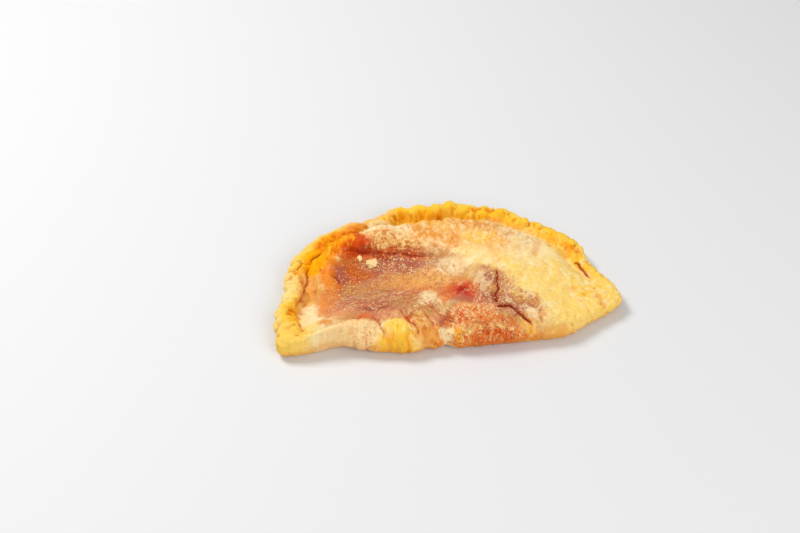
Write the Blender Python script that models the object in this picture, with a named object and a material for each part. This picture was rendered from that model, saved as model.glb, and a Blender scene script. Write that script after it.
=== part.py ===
"""A baked panzerotto: a half-moon of stuffed dough, folded along its front and crimped
round its arc, lying flat with the filling showing through its slack middle.

The crust is one solid.  It starts as a finely cut box: the top of the box becomes the
upper crust, its four sides become the edge all round, and its bottom becomes the flat
face that the turnover rests on.

Frame: metres, +Z up, X along the fold, +Y from the fold to the arc.  The origin is on the
resting face, under the middle of the outline's box.
"""

import math
from typing import NamedTuple

import bmesh
import bpy
import numpy as np
from mathutils import Vector, noise

MM = 0.001
TINY = 1e-6
NAME = "panzerotto"

# The whole turnover.
LENGTH = 204 * MM
DEPTH = 123 * MM

# The box that is shaped: cuts along each side of its top, and cuts down its sides.
GRID_CUTS = 43
EDGE_CUTS = 12

# The outline: a round of dough folded over, so an arc closed by a nearly straight fold.
ARC_RADIUS = 101 * MM
ARC_MIDDLE = (0.0, -40 * MM)
RAY_MIDDLE = (0.0, -12 * MM)
LEFT_CORNER_CRISPNESS = 34
RIGHT_CORNER_CRISPNESS = 12
# Where the fold runs: its distance in front of RAY_MIDDLE, by direction in degrees.
FOLD_LINE = ((203, 37.6 * MM), (206, 35.6 * MM), (211, 36.9 * MM), (216, 39.4 * MM),
             (223, 41.8 * MM), (232, 43.7 * MM), (241, 45.3 * MM), (248, 43.0 * MM),
             (255, 44.8 * MM), (274, 45.2 * MM), (288, 45.0 * MM), (306, 45.1 * MM),
             (316, 44.6 * MM), (326, 43.4 * MM), (336, 35.4 * MM), (346, 26.8 * MM))
# Where hand shaping pulled it in or let it bulge: direction and half-width in degrees, and
# how far the edge moves outwards.
OUTLINE_BULGES = (
    (4, 9, -6.3 * MM),
    (33, 8, -2.2 * MM),
    (44, 4, -2.0 * MM),
    (60, 12, 1.2 * MM),
    (78, 5, 3.0 * MM),
    (94, 4, 1.5 * MM),
    (105, 4, 2.8 * MM),
    (117, 6, -1.8 * MM),
    (131, 5, 1.6 * MM),
    (143, 10, 5.0 * MM),
    (157, 8, 4.3 * MM),
    (178, 5, -3.6 * MM),
    (194, 7, -2.7 * MM),
    (262, 6, -3.4 * MM),
)

# The crimped rim: a rolled rope of dough with a groove inside it.
# Half its width, by direction in degrees.
RIM_HALF_WIDTHS = ((-14, 5.4 * MM), (50, 5.4 * MM), (70, 6.4 * MM), (110, 6.6 * MM),
                   (140, 7.4 * MM), (208, 7.6 * MM))
RIM_MIDDLE_Z = 6.2 * MM
RIM_HALF_HEIGHT = 6.0 * MM
GROOVE_Z = 7 * MM
# Directions in degrees where the rim starts to rise, is full, starts to fade and is gone.
RIM_ENDS = (-14, 6, 197, 208)
# Crimps along the arc, from the right end round to the left corner: where each stretch
# ends in degrees of the arc, the length of one crimp, and how deep the creases are.
CRIMP_STRETCHES = (
    (58, 8.0 * MM, 1.3 * MM),
    (106, 11.0 * MM, 2.4 * MM),
    (132, 11.0 * MM, 2.0 * MM),
    (190, 15.0 * MM, 3.4 * MM),
)
CRIMP_UNEVENNESS = 0.28
CRIMP_DEPTH_SPREAD = (0.7, 1.15)
# The creases lean along the arc, about a line this far in from the outline.
CRIMP_SLANT = 0.55
CRIMP_MIDDLE = 7 * MM
CRIMP_ROUNDNESS = 2.5
CRIMP_MEAN = 0.55
CRIMP_SEED = 11
# How much of a crimp's height also moves the edge outwards, and how it fades at the groove.
CRIMP_BULGE = 0.6
CRIMP_FADE = 4.5 * MM

# The folded edge, which is fat and has no rim.
FOLD_HALF_WIDTH = 18 * MM
FOLD_WIDEST_Z = 7 * MM
FOLD_TUCK = 6 * MM
FOLD_TUCK_PER_LIFT = 2
# How far hand lifting left the folded edge off the table, by direction in degrees.
FOLD_LIFTS = ((198, 0.0), (206, 3.0 * MM), (217, 0.9 * MM), (230, 0.0))
# Height of the crust just inside the folded edge, by direction in degrees.
FOLD_TOPS = ((-22, 12 * MM), (10, 9 * MM), (200, 14 * MM), (222, 15.5 * MM),
             (245, 17 * MM), (290, 19 * MM), (318, 17 * MM), (338, 12 * MM))

# The strip that the box's sides cover, in from the outline.
EDGE_STRIP = 18 * MM
CREST_SHARE = 0.35
WIDEST_SHARE = 0.70
TUCK_ANGLE = math.radians(80)
TOP_FADE = 0.44

# The upper crust, and how quickly it climbs from the groove.
CROWN_Z = 22.5 * MM
RIGHT_FALL = 9 * MM
RIGHT_FALL_FROM = 20 * MM
RIGHT_FALL_OVER = 75 * MM
CLIMB_LEFT = 13 * MM
CLIMB_RIGHT = 9.5 * MM
CLIMB_CHANGES_FROM = -20 * MM
CLIMB_CHANGES_OVER = 90 * MM
CLIMB_FOLD = 17 * MM

# The crust further in follows the outline evened out over these degrees to either side.
EVENED_OVER = (-18, -12, -6, 0, 6, 12, 18)


class Swelling(NamedTuple):
    """A rise of the crust, or a hollow where it is below 0; square is 1 soft, 3 steep."""

    name: str
    middle: tuple
    half_size: tuple
    turn: float
    rise: float
    square: float


class Crease(NamedTuple):
    """A straight crease that runs in from the fold."""

    start: tuple
    end: tuple
    half_width: float
    depth: float


SWELLINGS = (
    Swelling("back ridge", (-50 * MM, 25 * MM), (29 * MM, 13 * MM), 6, 7.0 * MM, 1.6),
    Swelling("back ridge end", (-28 * MM, 31 * MM), (13 * MM, 9 * MM), -4, 2.5 * MM, 1.2),
    Swelling("left shoulder", (-74 * MM, 2 * MM), (13 * MM, 20 * MM), -8, 2.5 * MM, 1.2),
    Swelling("sunken middle", (-30 * MM, -11 * MM), (45 * MM, 22 * MM), 3, -7.5 * MM, 2.6),
    Swelling("sunken right", (16 * MM, -27 * MM), (18 * MM, 15 * MM), -15, -3.5 * MM, 1.4),
    Swelling("sauce blister", (8 * MM, -24 * MM), (8 * MM, 6 * MM), 0, 2.2 * MM, 1.0),
    Swelling("front-left roll", (-68 * MM, -42 * MM), (27 * MM, 9 * MM), 3, 4.0 * MM, 1.4),
    Swelling("front cheese", (16 * MM, -50 * MM), (20 * MM, 8 * MM), -4, 1.5 * MM, 1.2),
    Swelling("right dome", (52 * MM, -6 * MM), (36 * MM, 34 * MM), 0, 2.0 * MM, 1.0),
)
CREASES = (
    Crease((-43 * MM, -38 * MM), (-45 * MM, -59 * MM), 4 * MM, 2.2 * MM),
    Crease((-25 * MM, -38 * MM), (-21 * MM, -60 * MM), 4 * MM, 2.2 * MM),
    Crease((-8 * MM, -36 * MM), (3 * MM, -58 * MM), 4 * MM, 1.8 * MM),
    Crease((25 * MM, -43 * MM), (41 * MM, -61 * MM), 4 * MM, 2.0 * MM),
)

# Uneven dough: size and depth of its soft lumps.
LUMP_SIZE = 17 * MM
LUMP_DEPTH = 1.1 * MM
LUMP_OFFSET = Vector((3.1, 7.7, 1.3))

CRUST_COLOUR = (0.87, 0.56, 0.17, 1.0)
CRUST_ROUGHNESS = 0.5


def ease(value):
    """Rise smoothly from 0 to 1 while value goes from 0 to 1."""
    value = np.clip(value, 0.0, 1.0)
    return value * value * (3 - 2 * value)


def turned(angle, start):
    """Give angles in degrees as start up to start + 360."""
    return (angle - start) % 360 + start


def stepped(angle, entries):
    """Go smoothly from each entry's value to the next, by direction in degrees."""
    angles, values = np.array(entries).T
    after = np.clip(np.searchsorted(angles, angle), 1, len(angles) - 1)
    share = ease((angle - angles[after - 1]) / (angles[after] - angles[after - 1]))
    return values[after - 1] + (values[after] - values[after - 1]) * share


def flowing(angle, entries):
    """Go through each entry's value on a smooth curve, by direction in degrees."""
    angles, values = np.array(entries).T
    slopes = np.gradient(values, angles)
    after = np.clip(np.searchsorted(angles, angle), 1, len(angles) - 1)
    before = after - 1
    span = angles[after] - angles[before]
    share = np.clip((angle - angles[before]) / span, 0, 1)
    level = values[before] + (values[after] - values[before]) * ease(share)
    leaving = slopes[before] * (1 - share) - slopes[after] * share
    return level + span * share * (1 - share) * leaving


def outline_radius(angle):
    """Distance from RAY_MIDDLE to the outline, in the directions given in degrees."""
    along = np.radians(angle)
    ray_x, ray_y = np.cos(along), np.sin(along)
    to_x = ARC_MIDDLE[0] - RAY_MIDDLE[0]
    to_y = ARC_MIDDLE[1] - RAY_MIDDLE[1]
    ahead = ray_x * to_x + ray_y * to_y
    arc = ahead + np.sqrt(ahead**2 - to_x**2 - to_y**2 + ARC_RADIUS**2)
    downwards = np.maximum(-ray_y, TINY)
    fold = flowing(turned(angle, 0), FOLD_LINE) / downwards
    spread = LEFT_CORNER_CRISPNESS - RIGHT_CORNER_CRISPNESS
    crispness = RIGHT_CORNER_CRISPNESS + spread * (1 - ray_x) / 2
    radius = arc * (1 + (arc / fold) ** crispness) ** (-1 / crispness)
    for middle, half_width, outwards in OUTLINE_BULGES:
        off = turned(angle - middle, -180) / half_width
        radius = radius + outwards * np.exp(-off * off)
    return radius


def crimp_creases():
    """Places of the creases along the arc, with the depth of the crimp before each."""
    draw = np.random.default_rng(CRIMP_SEED)
    place = 0.0
    places, depths = [place], [CRIMP_STRETCHES[0][2]]
    for end_angle, length, depth in CRIMP_STRETCHES:
        while place < math.radians(end_angle) * ARC_RADIUS:
            place += length * (1 + CRIMP_UNEVENNESS * draw.uniform(-1, 1))
            places.append(place)
            depths.append(depth * draw.uniform(*CRIMP_DEPTH_SPREAD))
    return np.array(places), np.array(depths)


def crimps(x, y, inwards):
    """Height of the crimps: below 0 in a crease, above 0 on the lump between two."""
    arc_angle = np.degrees(np.arctan2(y - ARC_MIDDLE[1], x - ARC_MIDDLE[0]))
    along = np.radians(turned(arc_angle, -90)) * ARC_RADIUS
    along += CRIMP_SLANT * (inwards - CRIMP_MIDDLE)
    places, depths = crimp_creases()
    after = np.clip(np.searchsorted(places, along), 1, len(places) - 1)
    share = (along - places[after - 1]) / (places[after] - places[after - 1])
    lump = 1 - np.abs(2 * np.clip(share, 0, 1) - 1) ** CRIMP_ROUNDNESS
    return depths[after] * (lump - CRIMP_MEAN)


def rim_half_width(angle):
    """Half the rim's width, in the directions given in degrees."""
    return stepped(turned(angle, -90), RIM_HALF_WIDTHS)


def height_behind_rim(x, inwards, angle):
    """Height of the crust as it climbs from the groove inside the rim."""
    rightness = ease((x - CLIMB_CHANGES_FROM) / CLIMB_CHANGES_OVER)
    climb = CLIMB_LEFT + (CLIMB_RIGHT - CLIMB_LEFT) * rightness
    past_groove = np.maximum(inwards - 2 * rim_half_width(angle), 0)
    return GROOVE_Z + (crown_height(x) - GROOVE_Z) * (1 - np.exp(-past_groove / climb))


def height_behind_fold(x, inwards, angle):
    """Height of the crust as it climbs from the folded edge."""
    fold_top = fold_height(angle)
    past_fold = np.maximum(inwards - FOLD_HALF_WIDTH, 0)
    return fold_top + (crown_height(x) - fold_top) * (1 - np.exp(-past_fold / CLIMB_FOLD))


def crown_height(x):
    """Height that the crust climbs to, which falls towards the right end."""
    return CROWN_Z - RIGHT_FALL * ease((x - RIGHT_FALL_FROM) / RIGHT_FALL_OVER)


def rim_share(angle):
    """1 where the edge is the crimped rim, 0 where it is the fold."""
    angle = turned(angle, -90)
    right_end, right_full, left_full, left_end = RIM_ENDS
    begins = ease((angle - right_end) / (right_full - right_end))
    ends = ease((angle - left_full) / (left_end - left_full))
    return begins * (1 - ends)


def fold_height(angle):
    """Height of the crust just inside the folded edge."""
    return stepped(turned(angle, -22), FOLD_TOPS)


def relief(x, y):
    """Swellings, hollows and creases of the upper crust."""
    height = np.zeros_like(x)
    for swelling in SWELLINGS:
        turn = math.radians(swelling.turn)
        off_x, off_y = x - swelling.middle[0], y - swelling.middle[1]
        along = (off_x * math.cos(turn) + off_y * math.sin(turn)) / swelling.half_size[0]
        across = (off_y * math.cos(turn) - off_x * math.sin(turn)) / swelling.half_size[1]
        away = along**2 + across**2
        height += swelling.rise * np.exp(-(away**swelling.square))
    for crease in CREASES:
        off = distance_to_line(x, y, crease.start, crease.end) / crease.half_width
        height -= crease.depth * np.exp(-off * off)
    return height


def distance_to_line(x, y, start, end):
    """Distance in plan from the straight line between two points."""
    run_x, run_y = end[0] - start[0], end[1] - start[1]
    share = ((x - start[0]) * run_x + (y - start[1]) * run_y) / (run_x**2 + run_y**2)
    share = np.clip(share, 0, 1)
    return np.hypot(x - start[0] - share * run_x, y - start[1] - share * run_y)


def lumps(x, y):
    """Soft unevenness of the dough."""
    places = np.stack([x, y, np.zeros_like(x)], axis=1) / LUMP_SIZE
    return np.array([noise.noise(Vector(place) + LUMP_OFFSET) for place in places])


def edge_turns(share):
    """How the edge's two sections turn, from their tops (90 degrees) to below (under 0)."""
    outer = np.clip((share - CREST_SHARE) / (WIDEST_SHARE - CREST_SHARE), 0, 1)
    tuck = np.clip((share - WIDEST_SHARE) / (1 - WIDEST_SHARE), 0, 1) * TUCK_ANGLE
    rim_turn = (1 - outer) * math.pi / 2 - tuck
    fold_turn = (1 - np.clip(share / WIDEST_SHARE, 0, 1)) * math.pi / 2 - tuck
    return rim_turn, fold_turn


def edge_inwards(share, angle):
    """How far in from the outline the edge's section is, from EDGE_STRIP at share 0."""
    rim_turn, fold_turn = edge_turns(share)
    half_width = rim_half_width(angle)
    on_flank = share < CREST_SHARE
    flank_in = EDGE_STRIP + (half_width - EDGE_STRIP) * share / CREST_SHARE
    rim_in = np.where(on_flank, flank_in, half_width * (1 - np.cos(rim_turn)))
    below_in = FOLD_TUCK + FOLD_TUCK_PER_LIFT * fold_lift(angle)
    fold_width = np.where(fold_turn < 0, below_in, FOLD_HALF_WIDTH)
    fold_in = fold_width * (1 - np.cos(fold_turn))
    rim = rim_share(angle)
    return rim * rim_in + (1 - rim) * fold_in


def edge_height(share, angle, x, inwards):
    """Height of the edge's section: a rope with a groove, or a fat fold."""
    rim_turn, fold_turn = edge_turns(share)
    to_groove = np.clip(inwards / rim_half_width(angle) - 1, 0, 1)
    crest_z = RIM_MIDDLE_Z + RIM_HALF_HEIGHT
    flank_z = GROOVE_Z + (crest_z - GROOVE_Z) * (1 + np.cos(math.pi * to_groove)) / 2
    flank_z = np.where(to_groove < 1, flank_z, height_behind_rim(x, inwards, angle))
    rope_z = RIM_MIDDLE_Z + RIM_HALF_HEIGHT * np.sin(rim_turn)
    rim_z = np.where(share < CREST_SHARE, flank_z, rope_z)

    widest_z = FOLD_WIDEST_Z + fold_lift(angle)
    rise = np.where(fold_turn < 0, widest_z, fold_height(angle) - widest_z)
    fold_z = widest_z + rise * np.sin(fold_turn)
    rim = rim_share(angle)
    return rim * rim_z + (1 - rim) * fold_z


def fold_lift(angle):
    """How far the folded edge's widest line is lifted, in the directions given."""
    return stepped(turned(angle, 0), FOLD_LIFTS)


def around(side_x, side_y):
    """Turn places on a square from -1 to 1 into a reach from 0 to 1 and a direction."""
    across, along = np.abs(side_x), np.abs(side_y)
    reach = np.maximum(across, along)
    eighth = np.minimum(across, along) / np.maximum(reach, TINY) * math.pi / 4
    turn = np.where(across > along, eighth, math.pi / 2 - eighth)
    round_x = np.copysign(np.cos(turn), side_x) * LENGTH
    round_y = np.copysign(np.sin(turn), side_y) * DEPTH
    return reach, turned(np.degrees(np.arctan2(round_y, round_x)), -90)


def shape(box):
    """Move the points of the cut box, whose corners are at -1 and 1, onto the turnover."""
    reach, angle = around(box[:, 0], box[:, 1])
    level = box[:, 2]
    on_side = reach > 1 - TINY
    share = np.where(on_side, (1 - level) / 2, np.where(level > 0, 0.0, 1.0))

    radius = outline_radius(angle)
    ray_x, ray_y = np.cos(np.radians(angle)), np.sin(np.radians(angle))
    at_edge = edge_inwards(share, angle)
    inwards = at_edge + (1 - reach) * (radius - at_edge)
    x = RAY_MIDDLE[0] + (radius - inwards) * ray_x
    y = RAY_MIDDLE[1] + (radius - inwards) * ray_y

    rim = rim_share(angle)
    evened = np.mean([outline_radius(angle + off) for off in EVENED_OVER], axis=0)
    past_edge = at_edge + (1 - reach) * (evened - at_edge)
    behind_rim = height_behind_rim(x, past_edge, angle)
    behind_fold = height_behind_fold(x, past_edge, angle)
    inner = rim * behind_rim + (1 - rim) * behind_fold
    height = np.where(on_side, edge_height(share, angle, x, inwards), inner)

    topness = ease((WIDEST_SHARE - share) / TOP_FADE)
    past_rope = ease(inwards / rim_half_width(angle) - 1)
    height += topness * (rim * past_rope + 1 - rim) * relief(x, y)
    height += topness * LUMP_DEPTH * lumps(x, y)

    on_rope = rim * ease((2 * rim_half_width(angle) - inwards) / CRIMP_FADE)
    crimp = np.where(share < 1, crimps(x, y, inwards) * on_rope, 0)
    height += topness * crimp
    x += CRIMP_BULGE * crimp * ray_x
    y += CRIMP_BULGE * crimp * ray_y
    height = np.where(share < 1, height, 0)
    return np.stack([x, y, height], axis=1)


def cut_box():
    """A box from -1 to 1, cut into a grid on its top and bottom and into rows on its sides."""
    mesh = bmesh.new()
    bmesh.ops.create_cube(mesh, size=2)
    level = [edge for edge in mesh.edges if not is_upright(edge)]
    bmesh.ops.subdivide_edges(mesh, edges=level, cuts=GRID_CUTS, use_grid_fill=True)
    upright = [edge for edge in mesh.edges if is_upright(edge)]
    bmesh.ops.subdivide_edges(mesh, edges=upright, cuts=EDGE_CUTS, use_grid_fill=True)
    return mesh


def is_upright(edge):
    """Whether an edge runs from the box's bottom to its top."""
    start, end = (vertex.co.z for vertex in edge.verts)
    return abs(start - end) > 1


def make_crust(collection):
    """Shape the crust and give it its baked colour."""
    cut = cut_box()
    points = shape(np.array([vertex.co for vertex in cut.verts]))
    low, high = points.min(axis=0), points.max(axis=0)
    stretch = np.array([LENGTH, DEPTH]) / (high - low)[:2]
    points[:, :2] = (points[:, :2] - (low + high)[:2] / 2) * stretch
    for vertex, place in zip(cut.verts, points):
        vertex.co = place
    bmesh.ops.recalc_face_normals(cut, faces=cut.faces)

    mesh = bpy.data.meshes.new(NAME)
    cut.to_mesh(mesh)
    cut.free()
    mesh.shade_smooth()
    mesh.materials.append(crust_material())
    crust = bpy.data.objects.new(NAME, mesh)
    collection.objects.link(crust)
    return crust


def crust_material():
    """Golden baked dough."""
    material = bpy.data.materials.new("baked dough")
    material.use_nodes = True
    surface = material.node_tree.nodes["Principled BSDF"]
    surface.inputs["Base Color"].default_value = CRUST_COLOUR
    surface.inputs["Roughness"].default_value = CRUST_ROUGHNESS
    surface.inputs["Metallic"].default_value = 0.0
    material.diffuse_color = CRUST_COLOUR
    return material


def main():
    """Clear the scene and make the turnover in a collection of its own."""
    for item in list(bpy.data.objects):
        bpy.data.objects.remove(item)
    collection = bpy.data.collections.new(NAME)
    bpy.context.scene.collection.children.link(collection)
    make_crust(collection)


main()
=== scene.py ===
"""The looks of a baked panzerotto, laid out as a Blender add-on.

The crust is one closed skin of dough, with its folds, crimps, tears and blisters in the mesh.
It is fitted to the box of the part that it stands for.  Shader nodes work out its colours
from the place on the dough.  The small things that lie on it are meshes of their own.

Frame: metres, +Z up, X along the fold, +Y from the fold to the arc.  Shapes, and places on
the dough, are in millimetres, and are scaled once, when a mesh is filled.
"""

import math
from typing import NamedTuple

import bmesh
import bpy
import numpy as np
from bpy.props import FloatProperty, FloatVectorProperty, IntProperty, PointerProperty
from mathutils import Color, Matrix, Vector, noise


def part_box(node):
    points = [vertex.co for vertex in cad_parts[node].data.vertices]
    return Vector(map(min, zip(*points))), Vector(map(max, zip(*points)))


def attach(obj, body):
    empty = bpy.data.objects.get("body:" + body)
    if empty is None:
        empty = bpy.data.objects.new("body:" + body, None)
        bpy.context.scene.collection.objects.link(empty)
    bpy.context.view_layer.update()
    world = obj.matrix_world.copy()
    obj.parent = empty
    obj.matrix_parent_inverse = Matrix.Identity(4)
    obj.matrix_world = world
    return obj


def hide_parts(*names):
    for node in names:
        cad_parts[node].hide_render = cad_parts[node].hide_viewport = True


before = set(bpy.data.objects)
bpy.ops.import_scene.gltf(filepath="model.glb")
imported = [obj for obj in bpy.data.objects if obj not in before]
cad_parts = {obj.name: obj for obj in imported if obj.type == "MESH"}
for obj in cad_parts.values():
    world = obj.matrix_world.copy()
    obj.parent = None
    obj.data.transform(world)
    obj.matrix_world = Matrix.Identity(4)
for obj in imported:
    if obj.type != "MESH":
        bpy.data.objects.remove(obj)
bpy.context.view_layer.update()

bl_info = {
    "name": "Baked panzerotto",
    "version": (1, 0, 0),
    "blender": (4, 5, 0),
    "location": "View3D > Sidebar > Panzerotto",
    "description": "Makes a baked panzerotto and the plain stage it is shown on",
    "category": "Object",
}

MM = 0.001
TINY = 1e-6
PART = "panzerotto"
BODY = "root"
CRUST = "turnover_crust"

# ---------------------------------------------------------------------------------------
# The turnover's form, in millimetres
# ---------------------------------------------------------------------------------------

# The outline: a round of dough folded over, so an arc closed by a nearly straight fold.
ARC_RADIUS = 101
ARC_MIDDLE = (0, -40)
RAY_MIDDLE = (0, -12)
LEFT_CORNER_CRISPNESS = 34
RIGHT_CORNER_CRISPNESS = 12
# Where the fold runs: its distance in front of RAY_MIDDLE, by direction in degrees.
FOLD_LINE = ((203, 37.6), (206, 35.6), (211, 36.9), (216, 39.4), (223, 41.8), (232, 43.7),
             (241, 45.3), (248, 43.0), (255, 44.8), (274, 45.2), (288, 45.0), (306, 45.1),
             (316, 44.6), (326, 43.4), (336, 35.4), (346, 26.8))
# Shaping: direction and half-width in degrees, and how far the edge moves outwards.
OUTLINE_BULGES = (
    (4, 9, -6.3),
    (33, 8, -2.2),
    (44, 4, -2.0),
    (60, 12, 1.2),
    (78, 5, 3.0),
    (94, 4, 1.5),
    (105, 4, 2.8),
    (117, 6, -1.8),
    (131, 5, 1.6),
    (143, 10, 5.0),
    (157, 8, 4.3),
    (178, 5, -3.6),
    (194, 7, -2.7),
    (262, 6, -3.4),
)

# The crimped rim: a rolled rope of dough with a groove inside it.
RIM_HALF_WIDTHS = ((-14, 5.4), (50, 5.4), (70, 6.4), (110, 6.6), (140, 7.4), (208, 7.6))
CRIMP_MIDDLE = 7
RIM_MIDDLE_Z = 6.2
RIM_HALF_HEIGHT = 6.0
GROOVE_Z = 7
# Directions in degrees where the rim starts to rise, is full, starts to fade and is gone.
RIM_ENDS = (-14, 6, 197, 208)
# Crimps along the arc: where each stretch ends in degrees, a crimp's length, and its depth.
CRIMP_STRETCHES = ((58, 8.0, 1.3), (106, 11.0, 2.4), (132, 11.0, 2.0), (190, 15.0, 3.4))
CRIMP_UNEVENNESS = 0.28
CRIMP_DEPTH_SPREAD = (0.7, 1.15)
CRIMP_SLANT = 0.55
CRIMP_ROUNDNESS = 2.5
CRIMP_MEAN = 0.55
CRIMP_SEED = 11
CRIMP_BULGE = 0.6
CRIMP_FADE = 4.5
CRIMP_CREASE_WIDTH = 1.3

# The folded edge, which is fat and has no rim, and where hand lifting left it off the table.
FOLD_HALF_WIDTH = 18
FOLD_WIDEST_Z = 7
FOLD_TUCK = 6
FOLD_TUCK_PER_LIFT = 2
FOLD_LIFTS = ((198, 0), (206, 3), (217, 0.9), (230, 0))
FOLD_TOPS = ((-22, 12), (10, 9), (200, 14), (222, 15.5), (245, 17), (290, 19), (318, 17),
             (338, 12))

# The strip along the edge, in from the outline.
EDGE_STRIP = 18
CREST_SHARE = 0.35
WIDEST_SHARE = 0.70
TUCK_ANGLE = math.radians(80)
TOP_FADE = 0.44

# The upper crust, and how quickly it climbs from the groove.
CROWN_Z = 22.5
RIGHT_FALL = 9
RIGHT_FALL_FROM = 20
RIGHT_FALL_OVER = 75
CLIMB_LEFT = 13
CLIMB_RIGHT = 9.5
CLIMB_CHANGES_FROM = -20
CLIMB_CHANGES_OVER = 90
CLIMB_FOLD = 17
# Directions, in degrees either way, over which the outline is evened for the climb.
EVENED_OVER = (-18, -12, -6, 0, 6, 12, 18)


class Swelling(NamedTuple):
    """A rise of the crust, or a hollow where it is below 0; square is 1 soft, 3 steep."""

    name: str
    middle: tuple
    half_size: tuple
    turn: float
    rise: float
    square: float


class Fold(NamedTuple):
    """A fold, crease or tear along a route in plan.

    The side on the left of the route is step higher, and evens out over reach.  The crease
    in it is depth deep, has lips as high as lip, and is darkened by dark: painted shade in
    the crease, and the dark of a tear.
    """

    name: str
    route: tuple
    step: float
    reach: float
    depth: float
    half_width: float
    lip: float
    dark: float
    fade: float


class Grain(NamedTuple):
    """A part of the crust that is rough, with grains of one size and depth."""

    name: str
    middle: tuple
    half_size: tuple
    turn: float
    size: float
    depth: float


class Wrinkles(NamedTuple):
    """A part of the crust with wrinkles that run one way, in degrees."""

    name: str
    middle: tuple
    half_size: tuple
    turn: float
    run: float
    spacing: float
    length: float
    depth: float


class Patch(NamedTuple):
    """An oval part of the crust, and its share of the small things that lie on it."""

    name: str
    middle: tuple
    half_size: tuple
    turn: float
    share: float = 1.0


def table(kind, *rows):
    """Make each row of values a named tuple of one kind."""
    return tuple(kind(*row) for row in rows)


SWELLINGS = table(
    Swelling,
    ("back ridge", (-50, 25), (29, 13), 6, 7.0, 1.6),
    ("back ridge end", (-28, 31), (13, 9), -4, 2.5, 1.2),
    ("left shoulder", (-74, 2), (13, 20), -8, 2.5, 1.2),
    ("sunken middle", (-30, -11), (45, 22), 3, -7.5, 2.6),
    ("sunken right", (16, -27), (18, 15), -15, -3.5, 1.4),
    ("sauce blister", (8, -24), (8, 6), 0, 2.2, 1.0),
    ("front-left roll", (-68, -42), (27, 9), 3, 4.0, 1.4),
    ("front cheese", (16, -50), (20, 8), -4, 1.5, 1.2),
    ("right dome", (52, -6), (36, 34), 0, 2.0, 1.0),
)
# Straight creases that run in from the fold: start, end, half-width and depth.
CREASES = (
    ((-43, -38), (-45, -59), 4, 2.2),
    ((-25, -38), (-21, -60), 4, 2.2),
    ((-8, -36), (3, -58), 4, 1.8),
    ((25, -43), (41, -61), 4, 2.0),
)
LUMP_SIZE = 17
LUMP_DEPTH = 1.1
LUMP_OFFSET = (3.1, 7.7, 1.3)

# ---------------------------------------------------------------------------------------
# Finer forms on the crust, in millimetres
# ---------------------------------------------------------------------------------------

KNOBS = table(
    Swelling,
    ("whorl on the rim", (-87, 13), (6.5, 5.5), 30, 2.1, 1.6),
    ("whorl's hollow", (-86, 12), (2.4, 2.0), 30, -2.0, 1.0),
    ("long left lump", (-92, -9), (5, 11), -8, 1.2, 1.4),
    ("left knob", (-95, -33), (5.5, 6), -20, 1.6, 1.6),
    ("small left knob", (-90, -40), (4, 4), 20, 0.9, 1.2),
    ("left corner", (-93, -48), (8, 6), 10, 0.8, 1.2),
    ("top rim lump", (3, 56), (6, 5), 0, 1.2, 1.4),
    ("top rim second lump", (17, 56), (6, 4.5), -10, 0.8, 1.4),
    ("rim behind the ridge", (-25, 52), (8, 5), 12, 0.8, 1.2),
    ("ridge brow", (-54, 20), (13, 6), 6, 1.2, 1.2),
    ("ridge knuckle", (-30, 20), (9, 5), -8, 1.0, 1.2),
    ("ridge hollow", (-42, 30), (5, 7), 20, -0.9, 1.2),
    ("ridge orange blister", (-46, 37), (5, 3.5), 10, 0.8, 1.4),
    ("cream blister", (-30, 33), (8, 7), 0, 0.7, 1.2),
    ("shoulder blister", (-70, -12), (4, 6), 15, 0.7, 1.2),
    ("roll end", (-50, -50), (9, 7), -10, 0.5, 1.2),
    ("roll", (-74, -47), (14, 5), 4, 0.8, 1.2),
    ("brown blister", (-49, -41), (4, 1.8), 8, 0.9, 1.2),
    ("yellow fold", (-35, -53), (7, 7), 15, 0.9, 1.4),
    ("pale bit", (-6, -56), (4.5, 3), 5, 0.9, 1.6),
    ("lens", (31, -51), (8, 5), -28, 0.9, 1.4),
    ("crisp bulge", (10, -48), (9, 5), 0, 0.7, 1.2),
    ("yellow bead", (42, -58), (3.5, 2.5), -20, 0.8, 1.4),
    ("red blister", (7.6, -30), (4, 4), 0, 0.9, 1.2),
    ("amber bead", (-4, -33), (2.5, 3.5), 10, 0.6, 1.4),
    ("white film", (-13, -31), (6, 6), 0, 0.5, 1.2),
    ("dome swell", (38, 8), (9, 12), -15, 0.8, 1.2),
    ("dome hollow", (28, -2), (5, 10), 8, -0.7, 1.2),
)

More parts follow.
